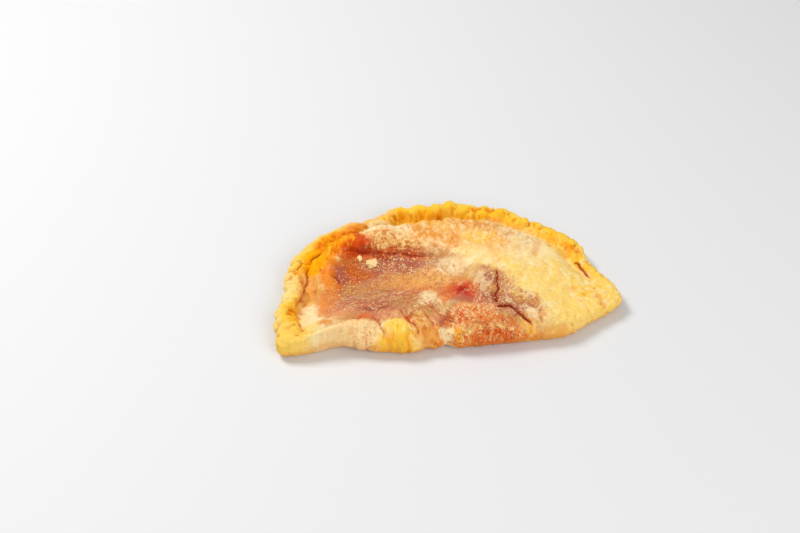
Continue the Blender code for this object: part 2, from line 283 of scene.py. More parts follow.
FOLDS = table(
    Fold,
    ("ridge foot", ((-63, 11), (-54, 10), (-44, 9.3), (-34, 8.6), (-24, 7), (-14, 5), (-5, 2.6),
     (3, 0)),
     2.2, 4.5, 1.3, 1.1, 0.0, 0.58, 12),
    ("ridge second line", ((-36, 11.5), (-26, 10.2), (-17, 9.4), (-9, 6.6)),
     0.6, 2.5, 0.7, 0.8, 0.0, 0.45, 4),
    ("ridge split", ((-47, 25), (-45.5, 18), (-43, 11)),
     -0.8, 3.0, 0.6, 0.9, 0.0, 0.35, 4),
    ("gash", ((-66, -0.5), (-63, -5), (-59.5, -9)),
     0.4, 2.0, 0.9, 0.9, 0.2, 0.75, 2.5),
    ("tear", ((29.5, -16.5), (30, -21), (28.8, -26), (28.4, -31), (26, -37), (24.4, -43)),
     0.5, 3.0, 2.4, 1.5, 0.5, 1.3, 4),
    ("tear's foot", ((22.5, -43), (27.5, -44.3), (32.5, -46), (36, -48.8), (38.6, -52.4),
     (41.5, -56.5), (45, -60)),
     1.0, 3.0, 1.9, 0.9, 0.5, 1.0, 5),
    ("left groove", ((-77, 14), (-79.5, 3), (-82, -8), (-86, -17), (-90, -25)),
     -0.5, 3.0, 1.2, 0.9, 0.0, 0.6, 7),
    ("upper groove", ((-64, 22.5), (-70, 19), (-76, 15.2), (-80, 11)),
     -0.5, 3.0, 1.0, 0.8, 0.0, 0.6, 4),
    ("lower left groove", ((-88.5, -28), (-87, -36), (-84.5, -46)),
     -0.5, 3.0, 1.2, 0.9, 0.0, 0.6, 4),
    ("right groove", ((78.5, -4), (82, -10), (85, -16), (88.5, -24.5)),
     0.5, 2.5, 1.2, 0.8, 0.0, 0.7, 7),
    ("knob crease", ((-99, -22), (-93, -24), (-88, -23)),
     0.5, 3.0, 1.0, 1.0, 0.0, 0.3, 2),
    ("under the knob", ((-100, -40), (-94, -41), (-89, -37)),
     0.5, 3.0, 1.0, 1.0, 0.0, 0.35, 2),
    ("whorl ring", ((-92, 8), (-87, 6), (-82.5, 9), (-82, 14), (-86, 18), (-90, 16)),
     0.6, 2.0, 1.6, 0.9, 0.2, 0.7, 3),
    ("roll top", ((-77, -37), (-71, -42), (-62, -43.4), (-54, -42.6), (-46, -38.5)),
     -1.2, 4.0, 0.5, 0.9, 0.0, 0.15, 4),
    ("roll end", ((-47, -41), (-43.5, -46), (-41.5, -52), (-41, -60)),
     -1.0, 3.5, 0.9, 1.0, 0.0, 0.45, 5),
    ("yellow fold's edge", ((-31, -38), (-27.5, -43), (-23.5, -50), (-20.5, -58)),
     -1.4, 3.5, 1.1, 0.8, 0.0, 0.65, 5),
    ("slanting crease", ((-16, -34), (-10.5, -39), (-7, -45), (-2.5, -51), (2, -56)),
     0.8, 3.5, 1.1, 1.0, 0.0, 0.55, 6),
    ("second slanting crease", ((-21, -37), (-17, -42), (-14, -49), (-12, -55)),
     -0.5, 2.5, 0.7, 0.9, 0.0, 0.4, 4),
    ("third slanting crease", ((-4, -38), (-1, -43), (3, -49)),
     0.5, 2.5, 0.6, 0.8, 0.0, 0.3, 3),
    ("crisp edge", ((2, -46), (3.5, -51), (8, -54.6), (14, -56), (20, -56)),
     0.9, 3.0, 0.8, 0.8, 0.0, 0.4, 3),
    ("lens's lower edge", ((21, -47), (22.5, -53), (28, -57), (35, -58.5)),
     0.8, 2.5, 0.6, 0.8, 0.0, 0.4, 3),
    ("lens's inner ring", ((37, -49), (34, -53.5), (29, -55)),
     0.3, 2.0, 0.4, 0.7, 0.0, 0.25, 2),
    ("crown crease", ((29, 6), (31, -1), (33, -9), (33, -14)),
     0.5, 3.5, 0.5, 1.2, 0.0, 0.12, 5),
    ("crown's left wrinkle", ((-4, 9), (3, 6), (9, 5), (14, 7)),
     0.4, 3.0, 0.5, 1.0, 0.0, 0.25, 4),
    ("dent's lower wrinkle", ((-58, -36), (-50, -35), (-43, -32.5)),
     -0.5, 3.0, 0.5, 1.0, 0.0, 0.3, 4),
    ("front-right pucker", ((46, -50), (49, -54), (51, -59)),
     0.4, 2.5, 0.6, 0.9, 0.0, 0.2, 3),
    ("fold's lower pucker", ((24, -55), (25, -60.5)),
     0.0, 2.0, 0.7, 0.8, 0.0, 0.5, 2),
)

WRINKLES = table(
    Wrinkles,
    ("roll", (-68, -50), (30, 12), 0, 84, 4.6, 20, 0.55),
    ("roll's end", (-46, -50), (8, 12), -10, 100, 3.0, 16, 0.4),
    ("crown's left puckers", (2, 34), (20, 11), 4, 96, 4.4, 16, 1.0),
    ("crown's right puckers", (34, 26), (20, 13), -24, 66, 4.6, 16, 0.9),
    ("dome folds", (54, -6), (32, 28), -50, 62, 9.0, 34, 0.6),
    ("crumpled front", (-12, -46), (14, 13), -10, -62, 2.8, 14, 0.75),
    ("dent's lower skin", (-40, -28), (26, 10), 4, 22, 2.6, 9, 0.35),
    ("dent's upper skin", (-30, 0), (30, 8), -4, -12, 2.8, 9, 0.3),
    ("ridge", (-50, 22), (26, 12), 6, 82, 4.0, 14, 0.8),
    ("left rope", (-88, 2), (9, 26), -10, -78, 3.2, 14, 0.9),
    ("upper left rope", (-64, 38), (22, 9), 34, 34, 3.0, 16, 0.8),
    ("left shoulder", (-76, -10), (11, 26), -8, -80, 4.4, 16, 0.45),
    ("yellow fold", (-34, -54), (9, 10), 12, 80, 3.4, 14, 0.65),
    ("front right", (64, -50), (26, 12), 22, -64, 4.4, 13, 0.5),
    ("crisp", (14, -52), (18, 9), -4, 78, 2.6, 8, 0.6),
)

GRAINS = table(
    Grain,
    ("ridge crumbs", (-25, 14), (18, 6.5), -8, 2.8, 1.0),
    ("ridge bake", (-54, 20), (16, 13), 6, 3.6, 0.8),
    ("cream ridge", (-30, 28), (14, 12), 0, 3.0, 0.5),
    ("sunken film", (-32, -14), (46, 27), 2, 2.4, 0.34),
    ("crisp front", (14, -50), (18, 9), -3, 1.9, 0.75),
    ("skin by the tear", (24, -31), (9, 14), 5, 1.7, 0.5),
    ("skin right of the tear", (39, -40), (11, 9), -25, 1.8, 0.4),
    ("crumpled front", (-12, -47), (15, 10), -10, 2.6, 0.5),
    ("left shoulder", (-74, -6), (12, 24), -6, 2.6, 0.25),
    ("crown mottles", (20, 24), (38, 16), -12, 3.4, 0.5),
    ("dome skin", (58, -12), (34, 34), 0, 2.6, 0.24),
    ("pointed tip", (88, -33), (14, 12), -30, 3.6, 0.95),
    ("front right edge", (70, -50), (30, 8), 20, 2.8, 0.6),
    ("roll", (-66, -50), (28, 9), 0, 2.8, 0.3),
)

# Folds and wrinkles stray from a straight run.
WANDER_SIZE = 7
WANDER = 1.1
WANDER_OFFSETS = ((11.3, 4.1, 0.7), (2.9, 17.3, 8.1))
# Where a crease's lips are, in its half-widths, and how far off the nearest fold is kept.
LIP_PLACE = 2
SEAM_REACH = 4.0
# Rough and wrinkled parts: their strength in the middle, where it stops at 1, and its loss
# towards the edge.
PART_STRENGTH = 2
PART_LOSS = 1.5
GRAIN_OCTAVES = 3
WRINKLE_MEAN = 0.5
RIDGE_OFFSET = (0.3, 6.1, 2.2)
# Skin all over: size and depth of each layer of unevenness, finest last.
SKIN_LAYERS = ((7.0, 0.35), (3.0, 0.16), (1.3, 0.07))
SKIN_OFFSET = (5.7, 1.9, 12.4)

# Knobs all over the rope: their size, and how high they are, by direction in degrees.
KNOB_SIZE = 5.2
KNOB_HEIGHTS = ((-14, 0.0), (0, 0.9), (20, 2.2), (52, 2.0), (68, 1.2), (120, 1.1), (150, 1.2),
                (196, 1.2), (208, 0.3))
KNOB_TOP = 0.5
KNOB_OFFSET = (7.7, 3.3, 1.1)
ROPE_GRAIN_SIZE = 2.2
ROPE_GRAIN_DEPTH = 0.35
# How far the crimps' creases stray along the arc.
CRIMP_WANDER = 3.0
CRIMP_WANDER_SIZE = 8
CRIMP_WANDER_OFFSET = (1.5, 9.2, 4.4)

# Pleats that fan out from the groove over the rope: how strong, by direction in degrees.
PLEAT_STRENGTHS = ((-14, 0.0), (8, 0.25), (50, 0.35), (66, 0.9), (112, 1.0), (135, 0.7),
                   (190, 0.6), (206, 0.0))
PLEAT_SPACING = 3.4
PLEAT_RUN = 11
PLEAT_DEPTH = 1.15
PLEAT_MEAN = 0.6
PLEAT_LEAN = 0.7
# Where pleats start inside the outline and how far past the rope they end, with their fades.
PLEAT_START = 3
PLEAT_START_FADE = 4
PLEAT_PAST_ROPE = 3
PLEAT_END_FADE = 6

# Height over which the fine forms fade out towards the floor.
FLOOR_FADE = 2.0

# Layers of noise: how much weaker each is, as a power, and how many times finer.
LAYER_WEAKER = 1.0
LAYER_FINER = 2.0

# ---------------------------------------------------------------------------------------
# The shape of the crust
# ---------------------------------------------------------------------------------------


def ease(value):
    """Rise smoothly from 0 to 1 while value goes from 0 to 1."""
    value = np.clip(value, 0.0, 1.0)
    return value * value * (3 - 2 * value)


def turned(angle, start):
    """Give angles in degrees as start up to start + 360."""
    return (angle - start) % 360 + start


def stepped(angle, entries):
    """Go smoothly from each entry's value to the next, by direction in degrees."""
    angles, values = np.array(entries, float).T
    after = np.clip(np.searchsorted(angles, angle), 1, len(angles) - 1)
    share = ease((angle - angles[after - 1]) / (angles[after] - angles[after - 1]))
    return values[after - 1] + (values[after] - values[after - 1]) * share


def flowing(angle, entries):
    """Go through each entry's value on a smooth curve, by direction in degrees."""
    angles, values = np.array(entries, float).T
    slopes = np.gradient(values, angles)
    after = np.clip(np.searchsorted(angles, angle), 1, len(angles) - 1)
    before = after - 1
    span = angles[after] - angles[before]
    share = np.clip((angle - angles[before]) / span, 0, 1)
    level = values[before] + (values[after] - values[before]) * ease(share)
    leaving = slopes[before] * (1 - share) - slopes[after] * share
    return level + span * share * (1 - share) * leaving


def rows_of(x, y, z=0.0):
    """Coordinates as rows of x, y and z."""
    return np.stack(np.broadcast_arrays(x, y, z), axis=1)


def fractal(places, size, offset, octaves=2):
    """Smooth unevenness of about -1 to 1 at places, with lumps of a size."""
    spots = places / size + np.array(offset)
    return np.array([noise.fractal(spot, LAYER_WEAKER, LAYER_FINER, octaves) for spot in spots])


def ridged(first, second, third, mean):
    """Unevenness with sharp ridges, which rise to 1 - mean."""
    return 1 - mean - 2 * np.abs(fractal(rows_of(first, second, third), 1, RIDGE_OFFSET))


def rotated(x, y, angle):
    """Coordinates along and across a way that is turned by an angle in degrees."""
    turn = math.radians(angle)
    return (x * math.cos(turn) + y * math.sin(turn),
            y * math.cos(turn) - x * math.sin(turn))


def outline_radius(angle):
    """Distance from RAY_MIDDLE to the outline, in the directions given in degrees."""
    along = np.radians(angle)
    ray_x, ray_y = np.cos(along), np.sin(along)
    to_x = ARC_MIDDLE[0] - RAY_MIDDLE[0]
    to_y = ARC_MIDDLE[1] - RAY_MIDDLE[1]
    ahead = ray_x * to_x + ray_y * to_y
    arc = ahead + np.sqrt(ahead**2 - to_x**2 - to_y**2 + ARC_RADIUS**2)
    fold = flowing(turned(angle, 0), FOLD_LINE) / np.maximum(-ray_y, TINY)
    spread = LEFT_CORNER_CRISPNESS - RIGHT_CORNER_CRISPNESS
    crispness = RIGHT_CORNER_CRISPNESS + spread * (1 - ray_x) / 2
    radius = arc * (1 + (arc / fold) ** crispness) ** (-1 / crispness)
    for middle, half_width, outwards in OUTLINE_BULGES:
        off = turned(angle - middle, -180) / half_width
        radius = radius + outwards * np.exp(-off * off)
    return radius


def crimp_creases():
    """Places of the creases along the arc, with the depth of the crimp before each."""
    draw = np.random.default_rng(CRIMP_SEED)
    place = 0.0
    places, depths = [place], [CRIMP_STRETCHES[0][2]]
    for end_angle, length, depth in CRIMP_STRETCHES:
        while place < math.radians(end_angle) * ARC_RADIUS:
            place += length * (1 + CRIMP_UNEVENNESS * draw.uniform(-1, 1))
            places.append(place)
            depths.append(depth * draw.uniform(*CRIMP_DEPTH_SPREAD))
    return np.array(places), np.array(depths)


def along_the_arc(x, y):
    """Distance along the arc, from its right end."""
    arc_angle = np.degrees(np.arctan2(y - ARC_MIDDLE[1], x - ARC_MIDDLE[0]))
    return np.radians(turned(arc_angle, -90)) * ARC_RADIUS


def crimps(along, inwards):
    """Height of the crimps, and how near each point is to the crease between two."""
    along = along + CRIMP_SLANT * (inwards - CRIMP_MIDDLE)
    places, depths = crimp_creases()
    after = np.clip(np.searchsorted(places, along), 1, len(places) - 1)
    length = places[after] - places[after - 1]
    share = np.clip((along - places[after - 1]) / length, 0, 1)
    lump = 1 - np.abs(2 * share - 1) ** CRIMP_ROUNDNESS
    to_crease = np.minimum(share, 1 - share) * length / CRIMP_CREASE_WIDTH
    return depths[after] * (lump - CRIMP_MEAN), np.exp(-to_crease * to_crease)


def crown_height(x):
    """Height that the crust climbs to, which falls towards the right end."""
    return CROWN_Z - RIGHT_FALL * ease((x - RIGHT_FALL_FROM) / RIGHT_FALL_OVER)


def rim_half_width(angle):
    """Half the rim's width, in the directions given in degrees."""
    return stepped(turned(angle, -90), RIM_HALF_WIDTHS)


def height_behind_rim(x, inwards, angle):
    """Height of the crust as it climbs from the groove inside the rim."""
    rightness = ease((x - CLIMB_CHANGES_FROM) / CLIMB_CHANGES_OVER)
    climb = CLIMB_LEFT + (CLIMB_RIGHT - CLIMB_LEFT) * rightness
    past_groove = np.maximum(inwards - 2 * rim_half_width(angle), 0)
    return GROOVE_Z + (crown_height(x) - GROOVE_Z) * (1 - np.exp(-past_groove / climb))


def height_behind_fold(x, inwards, angle):
    """Height of the crust as it climbs from the folded edge."""
    fold_top = fold_height(angle)
    past_fold = np.maximum(inwards - FOLD_HALF_WIDTH, 0)
    return fold_top + (crown_height(x) - fold_top) * (1 - np.exp(-past_fold / CLIMB_FOLD))


def rim_share(angle):
    """1 where the edge is the crimped rim, 0 where it is the fold."""
    angle = turned(angle, -90)
    right_end, right_full, left_full, left_end = RIM_ENDS
    begins = ease((angle - right_end) / (right_full - right_end))
    ends = ease((angle - left_full) / (left_end - left_full))
    return begins * (1 - ends)


def fold_height(angle):
    """Height of the crust just inside the folded edge."""
    return stepped(turned(angle, -22), FOLD_TOPS)


def fold_lift(angle):
    """How far the folded edge's widest line is lifted, in the directions given."""
    return stepped(turned(angle, 0), FOLD_LIFTS)


def off_middle(x, y, spot):
    """Distance from a spot's middle, in its own half sizes."""
    along, across = rotated(x - spot.middle[0], y - spot.middle[1], spot.turn)
    return np.hypot(along / spot.half_size[0], across / spot.half_size[1])


def swell(x, y, swellings):
    """Height of a group of swellings and hollows."""
    height = np.zeros_like(x)
    for swelling in swellings:
        away = off_middle(x, y, swelling)
        height += swelling.rise * np.exp(-(away ** (2 * swelling.square)))
    return height


def beside_route(x, y, route):
    """Distance to a route in plan, the side (1 on its left), and the run to its ends."""
    nearest = np.full_like(x, np.inf)
    side = np.ones_like(x)
    run = np.zeros_like(x)
    so_far = 0.0
    for start, end in zip(route, route[1:]):
        run_x, run_y = end[0] - start[0], end[1] - start[1]
        length = math.hypot(run_x, run_y)
        share = ((x - start[0]) * run_x + (y - start[1]) * run_y) / length**2
        share = np.clip(share, 0, 1)
        off_x, off_y = x - start[0] - share * run_x, y - start[1] - share * run_y
        away = np.hypot(off_x, off_y)
        closer = away < nearest
        nearest = np.where(closer, away, nearest)
        side = np.where(closer, np.sign(run_x * off_y - run_y * off_x), side)
        run = np.where(closer, so_far + share * length, run)
        so_far += length
    return nearest, side, np.minimum(run, so_far - run)


def relief(x, y):
    """The main swellings, hollows and creases of the upper crust."""
    height = swell(x, y, SWELLINGS)
    for start, end, half_width, depth in CREASES:
        away = beside_route(x, y, (start, end))[0] / half_width
        height -= depth * np.exp(-away * away)
    return height


def edge_turns(share):
    """How the edge's two sections turn, from their tops (90 degrees) to below (under 0)."""
    outer = np.clip((share - CREST_SHARE) / (WIDEST_SHARE - CREST_SHARE), 0, 1)
    tuck = np.clip((share - WIDEST_SHARE) / (1 - WIDEST_SHARE), 0, 1) * TUCK_ANGLE
    rim_turn = (1 - outer) * math.pi / 2 - tuck
    fold_turn = (1 - np.clip(share / WIDEST_SHARE, 0, 1)) * math.pi / 2 - tuck
    return rim_turn, fold_turn


def edge_inwards(share, angle):
    """How far in from the outline the edge's section is, from EDGE_STRIP at share 0."""
    rim_turn, fold_turn = edge_turns(share)
    half_width = rim_half_width(angle)
    on_flank = share < CREST_SHARE
    flank_in = EDGE_STRIP + (half_width - EDGE_STRIP) * share / CREST_SHARE
    rim_in = np.where(on_flank, flank_in, half_width * (1 - np.cos(rim_turn)))
    below_in = FOLD_TUCK + FOLD_TUCK_PER_LIFT * fold_lift(angle)
    fold_width = np.where(fold_turn < 0, below_in, FOLD_HALF_WIDTH)
    fold_in = fold_width * (1 - np.cos(fold_turn))
    rim = rim_share(angle)
    return rim * rim_in + (1 - rim) * fold_in


def edge_height(share, angle, x, inwards):
    """Height of the edge's section: a rope with a groove, or a fat fold."""
    rim_turn, fold_turn = edge_turns(share)
    to_groove = np.clip(inwards / rim_half_width(angle) - 1, 0, 1)
    crest_z = RIM_MIDDLE_Z + RIM_HALF_HEIGHT
    flank_z = GROOVE_Z + (crest_z - GROOVE_Z) * (1 + np.cos(math.pi * to_groove)) / 2
    flank_z = np.where(to_groove < 1, flank_z, height_behind_rim(x, inwards, angle))
    rope_z = RIM_MIDDLE_Z + RIM_HALF_HEIGHT * np.sin(rim_turn)
    rim_z = np.where(share < CREST_SHARE, flank_z, rope_z)

    widest_z = FOLD_WIDEST_Z + fold_lift(angle)
    rise = np.where(fold_turn < 0, widest_z, fold_height(angle) - widest_z)
    fold_z = widest_z + rise * np.sin(fold_turn)
    rim = rim_share(angle)
    return rim * rim_z + (1 - rim) * fold_z


def around(side_x, side_y, length, depth):
    """Turn places on a square from -1 to 1 into a reach from 0 to 1 and a direction."""
    across, along = np.abs(side_x), np.abs(side_y)
    reach = np.maximum(across, along)
    eighth = np.minimum(across, along) / np.maximum(reach, TINY) * math.pi / 4
    turn = np.where(across > along, eighth, math.pi / 2 - eighth)
    round_x = np.copysign(np.cos(turn), side_x) * length
    round_y = np.copysign(np.sin(turn), side_y) * depth
    return reach, turned(np.degrees(np.arctan2(round_y, round_x)), -90)


def fitted(places, low, high):
    """Move and stretch places along one axis so that they run from low to high."""
    middle = (places.min() + places.max()) / 2
    stretch = (high - low) / (places.max() - places.min())
    return (low + high) / 2 + (places - middle) * stretch


class Dough:
    """The crust's points: their places in millimetres, and where on the turnover they are."""

    def __init__(self, sheet, low, high):
        """Move the points of a cut sheet onto the turnover, whose box is low to high."""
        reach, self.angle = around(sheet[:, 0], sheet[:, 1], *(high - low)[:2])
        self.on_side = reach > 1 - TINY
        self.share = np.where(self.on_side, (1 - sheet[:, 2]) / 2, 0.0)
        self.topness = ease((WIDEST_SHARE - self.share) / TOP_FADE)
        self.rim = rim_share(self.angle)
        self.half_width = rim_half_width(self.angle)

        radius = outline_radius(self.angle)
        ray_x, ray_y = np.cos(np.radians(self.angle)), np.sin(np.radians(self.angle))
        at_edge = edge_inwards(self.share, self.angle)
        self.inwards = at_edge + (1 - reach) * (radius - at_edge)
        self.x = RAY_MIDDLE[0] + (radius - self.inwards) * ray_x
        self.y = RAY_MIDDLE[1] + (radius - self.inwards) * ray_y

        evened = np.mean([outline_radius(self.angle + off) for off in EVENED_OVER], axis=0)
        self.z = self.risen(at_edge + (1 - reach) * (evened - at_edge))
        self.crimp(ray_x, ray_y)
        self.x = fitted(self.x, low[0], high[0])
        self.y = fitted(self.y, low[1], high[1])
        self.z = low[2] + np.where(self.share < 1, self.z, 0)

    def risen(self, past_edge):
        """Height of the crust before it is crimped, by the way in from an evened outline."""
        behind_rim = height_behind_rim(self.x, past_edge, self.angle)
        behind_fold = height_behind_fold(self.x, past_edge, self.angle)
        inner = self.rim * behind_rim + (1 - self.rim) * behind_fold
        edge = edge_height(self.share, self.angle, self.x, self.inwards)
        height = np.where(self.on_side, edge, inner)
        past_rope = ease(self.inwards / self.half_width - 1)
        height += self.topness * (self.rim * past_rope + 1 - self.rim) * relief(self.x, self.y)
        lumps = fractal(rows_of(self.x, self.y), LUMP_SIZE, LUMP_OFFSET, octaves=1)
        return height + self.topness * LUMP_DEPTH * lumps

    def crimp(self, ray_x, ray_y):
        """Press the crimps into the rope, which pushes it outwards between them."""
        stray = fractal(rows_of(self.x, self.y), CRIMP_WANDER_SIZE, CRIMP_WANDER_OFFSET)
        self.along = along_the_arc(self.x, self.y) + CRIMP_WANDER * stray
        self.on_rope = self.rim * ease((2 * self.half_width - self.inwards) / CRIMP_FADE)
        crimp, self.crease = crimps(self.along, self.inwards)
        crimp = np.where(self.share < 1, crimp * self.on_rope, 0)
        self.crease *= self.on_rope
        self.z += self.topness * crimp
        self.x += CRIMP_BULGE * crimp * ray_x
        self.y += CRIMP_BULGE * crimp * ray_y

    @property
    def places(self):
        """The points as rows of x, y and z."""
        return rows_of(self.x, self.y, self.z)

    def strayed(self):
        """Plan places pushed about a little, so that no fold runs straight."""
        flat = rows_of(self.x, self.y)
        push = [fractal(flat, WANDER_SIZE, offset) for offset in WANDER_OFFSETS]
        return self.x + WANDER * push[0], self.y + WANDER * push[1]

    def strength(self, part):
        """How strong a rough or wrinkled part is at each point."""
        return ease(PART_STRENGTH - PART_LOSS * off_middle(self.x, self.y, part))


def folded(x, y):
    """Height of the folds and tears, how far off the nearest is, and how dark that one is.

    The distance is below 0 on a fold's right, so that it passes 0 in the crease itself.
    """
    height = np.zeros_like(x)
    nearest = np.full_like(x, SEAM_REACH)
    dark = np.zeros_like(x)
    for fold in FOLDS:
        away, side, run = beside_route(x, y, fold.route)
        fade = ease(run / fold.fade)
        across = side * away / np.sqrt(away**2 + fold.half_width**2)
        height += fade * fold.step / 2 * across * np.exp(-away / fold.reach)
        crease = np.exp(-((away / fold.half_width) ** 2))
        lips = np.exp(-((away / fold.half_width - LIP_PLACE) ** 2))
        height += fade * (fold.lip * lips - fold.depth * crease)
        closer = away < np.abs(nearest)
        nearest = np.where(closer, side * away, nearest)
        dark = np.where(closer, fade * fold.dark, dark)
    return height, nearest, dark


def grained(dough):
    """Height of the rough parts of the crust."""
    height = np.zeros_like(dough.x)
    for number, grain in enumerate(GRAINS):
        strength = dough.strength(grain)
        here = strength > 0
        rough = fractal(dough.places[here], grain.size, (number, 0, 0), GRAIN_OCTAVES)
        height[here] += grain.depth * strength[here] * rough
    return height


def wrinkled(dough, x, y):
    """Height of the wrinkles, which follow the strayed places x and y."""
    height = np.zeros_like(x)
    for number, wrinkles in enumerate(WRINKLES):
        strength = dough.strength(wrinkles)
        here = strength > 0
        along, across = rotated(x[here], y[here], wrinkles.run)
        ridges = ridged(along / wrinkles.length, across / wrinkles.spacing, number,
                        WRINKLE_MEAN)
        height[here] += wrinkles.depth * strength[here] * ridges
    return height


def pleated(dough):
    """Height of the pleats that fan out over the rope."""
    strength = stepped(turned(dough.angle, -90), PLEAT_STRENGTHS) * dough.rim
    leaning = dough.along + PLEAT_LEAN * (dough.inwards - dough.half_width)
    ridges = ridged(leaning / PLEAT_SPACING, dough.inwards / PLEAT_RUN, 0.0, PLEAT_MEAN)
    starts = ease((dough.inwards - PLEAT_START) / PLEAT_START_FADE)
    to_end = 2 * dough.half_width + PLEAT_PAST_ROPE - dough.inwards
    return PLEAT_DEPTH * strength * starts * ease(to_end / PLEAT_END_FADE) * ridges


def knobbed(dough):
    """Height of the knobs on the rope, which have level tops."""
    strength = stepped(turned(dough.angle, -90), KNOB_HEIGHTS) * dough.on_rope
    rough = fractal(dough.places, KNOB_SIZE, KNOB_OFFSET)
    crumbly = ROPE_GRAIN_DEPTH * fractal(dough.places, ROPE_GRAIN_SIZE, KNOB_OFFSET)
    return strength * (KNOB_TOP + rough - np.abs(rough)) + dough.on_rope * crumbly


def skinned(dough):
    """Height of the skin's unevenness all over."""
    height = np.zeros_like(dough.x)
    for size, depth in SKIN_LAYERS:
        height += depth * fractal(dough.places, size, SKIN_OFFSET)
    return height


def cut_sheet(cells, rows):
    """A square sheet from -1 to 1 with a skirt of rows down to -1 and a bottom."""
    sheet = bmesh.new()
    bmesh.ops.create_grid(sheet, x_segments=cells, y_segments=cells, size=1)
    for vertex in sheet.verts:
        vertex.co.z = 1
    rim = [edge for edge in sheet.edges if edge.is_boundary]
    for row in range(rows):
        made = bmesh.ops.extrude_edge_only(sheet, edges=rim)["geom"]
        for item in made:
            if isinstance(item, bmesh.types.BMVert):
                item.co.z = 1 - 2 * (row + 1) / rows
        rim = [item for item in made
               if isinstance(item, bmesh.types.BMEdge) and item.is_boundary]
    bottom = bmesh.ops.contextual_create(sheet, geom=rim)["faces"]
    for face in sheet.faces:
        face.smooth = face not in bottom
    for edge in rim:
        edge.smooth = False
    bmesh.ops.recalc_face_normals(sheet, faces=sheet.faces)
    mesh = bpy.data.meshes.new(CRUST)
    sheet.to_mesh(mesh)
    sheet.free()
    return mesh


def read_vectors(mesh, name):
    """A mesh's points or normals as rows."""
    rows = np.zeros(len(mesh.vertices) * 3, np.float32)
    mesh.vertices.foreach_get(name, rows)
    return rows.reshape(-1, 3).astype(float)


def write_points(mesh, places):
    """Move a mesh's points to places in millimetres."""
    mesh.vertices.foreach_set("co", (places * MM).astype(np.float32).ravel())
    mesh.update()


def keep_values(mesh, **kept):
    """Keep values for each point, by their names, for the shader."""
    for name, values in kept.items():
        attribute = mesh.attributes.new(name, "FLOAT", "POINT")
        attribute.data.foreach_set("value", values.astype(np.float32))


# ---------------------------------------------------------------------------------------
# Shader nodes
# ---------------------------------------------------------------------------------------

# Noise nodes give about 0 to 1 round this middle, and are spread to about -1 to 1.
NOISE_MIDDLE = 0.5
NOISE_SPREAD = 3.2


class Edge(NamedTuple):
    """How a tone comes in with a value: from 0 at start to top at full.

    The edge is moved about by a noise, by up to about ragged.
    """

    start: float
    full: float
    top: float = 1.0
    ragged: float = 0.0


class Value:
    """A number's socket.  Python's operators on it add Math nodes."""

    def __init__(self, recipe, socket):
        """Wrap a socket of a recipe's nodes."""
        self.recipe = recipe
        self.socket = socket

    def maths(self, operation, *values):
        """Add a Math node."""
        sockets = dict(zip(("Value", "Value_001", "Value_002"), values))
        return self.recipe.value("ShaderNodeMath", {"operation": operation}, sockets)

    def __add__(self, other):
        return self.maths("ADD", self, other)

    def __sub__(self, other):
        return self.maths("SUBTRACT", self, other)

    def __rsub__(self, other):
        return self.maths("SUBTRACT", other, self)

    def __mul__(self, other):
        return self.maths("MULTIPLY", self, other)

    __radd__ = __add__
    __rmul__ = __mul__

    def larger(self, other):
        """The larger of two values."""
        return self.maths("MAXIMUM", self, other)

    def rising(self, low, high, top=1.0):
        """Go smoothly from 0 at low to top at high, or back down where high is the lower."""
        sockets = {
            "Value": self,
            "From Min": min(low, high),
            "From Max": max(low, high),
            "To Min": top * (high < low),
            "To Max": top * (high > low),
        }
        settings = {"interpolation_type": "SMOOTHSTEP", "clamp": False}
        return self.recipe.value("ShaderNodeMapRange", settings, sockets, "Result")

    def past(self, edge, roughness=None):
        """Rise past an edge, made ragged by a noise."""
        value = self if roughness is None else self + roughness * edge.ragged
        return value.rising(edge.start, edge.full, edge.top)


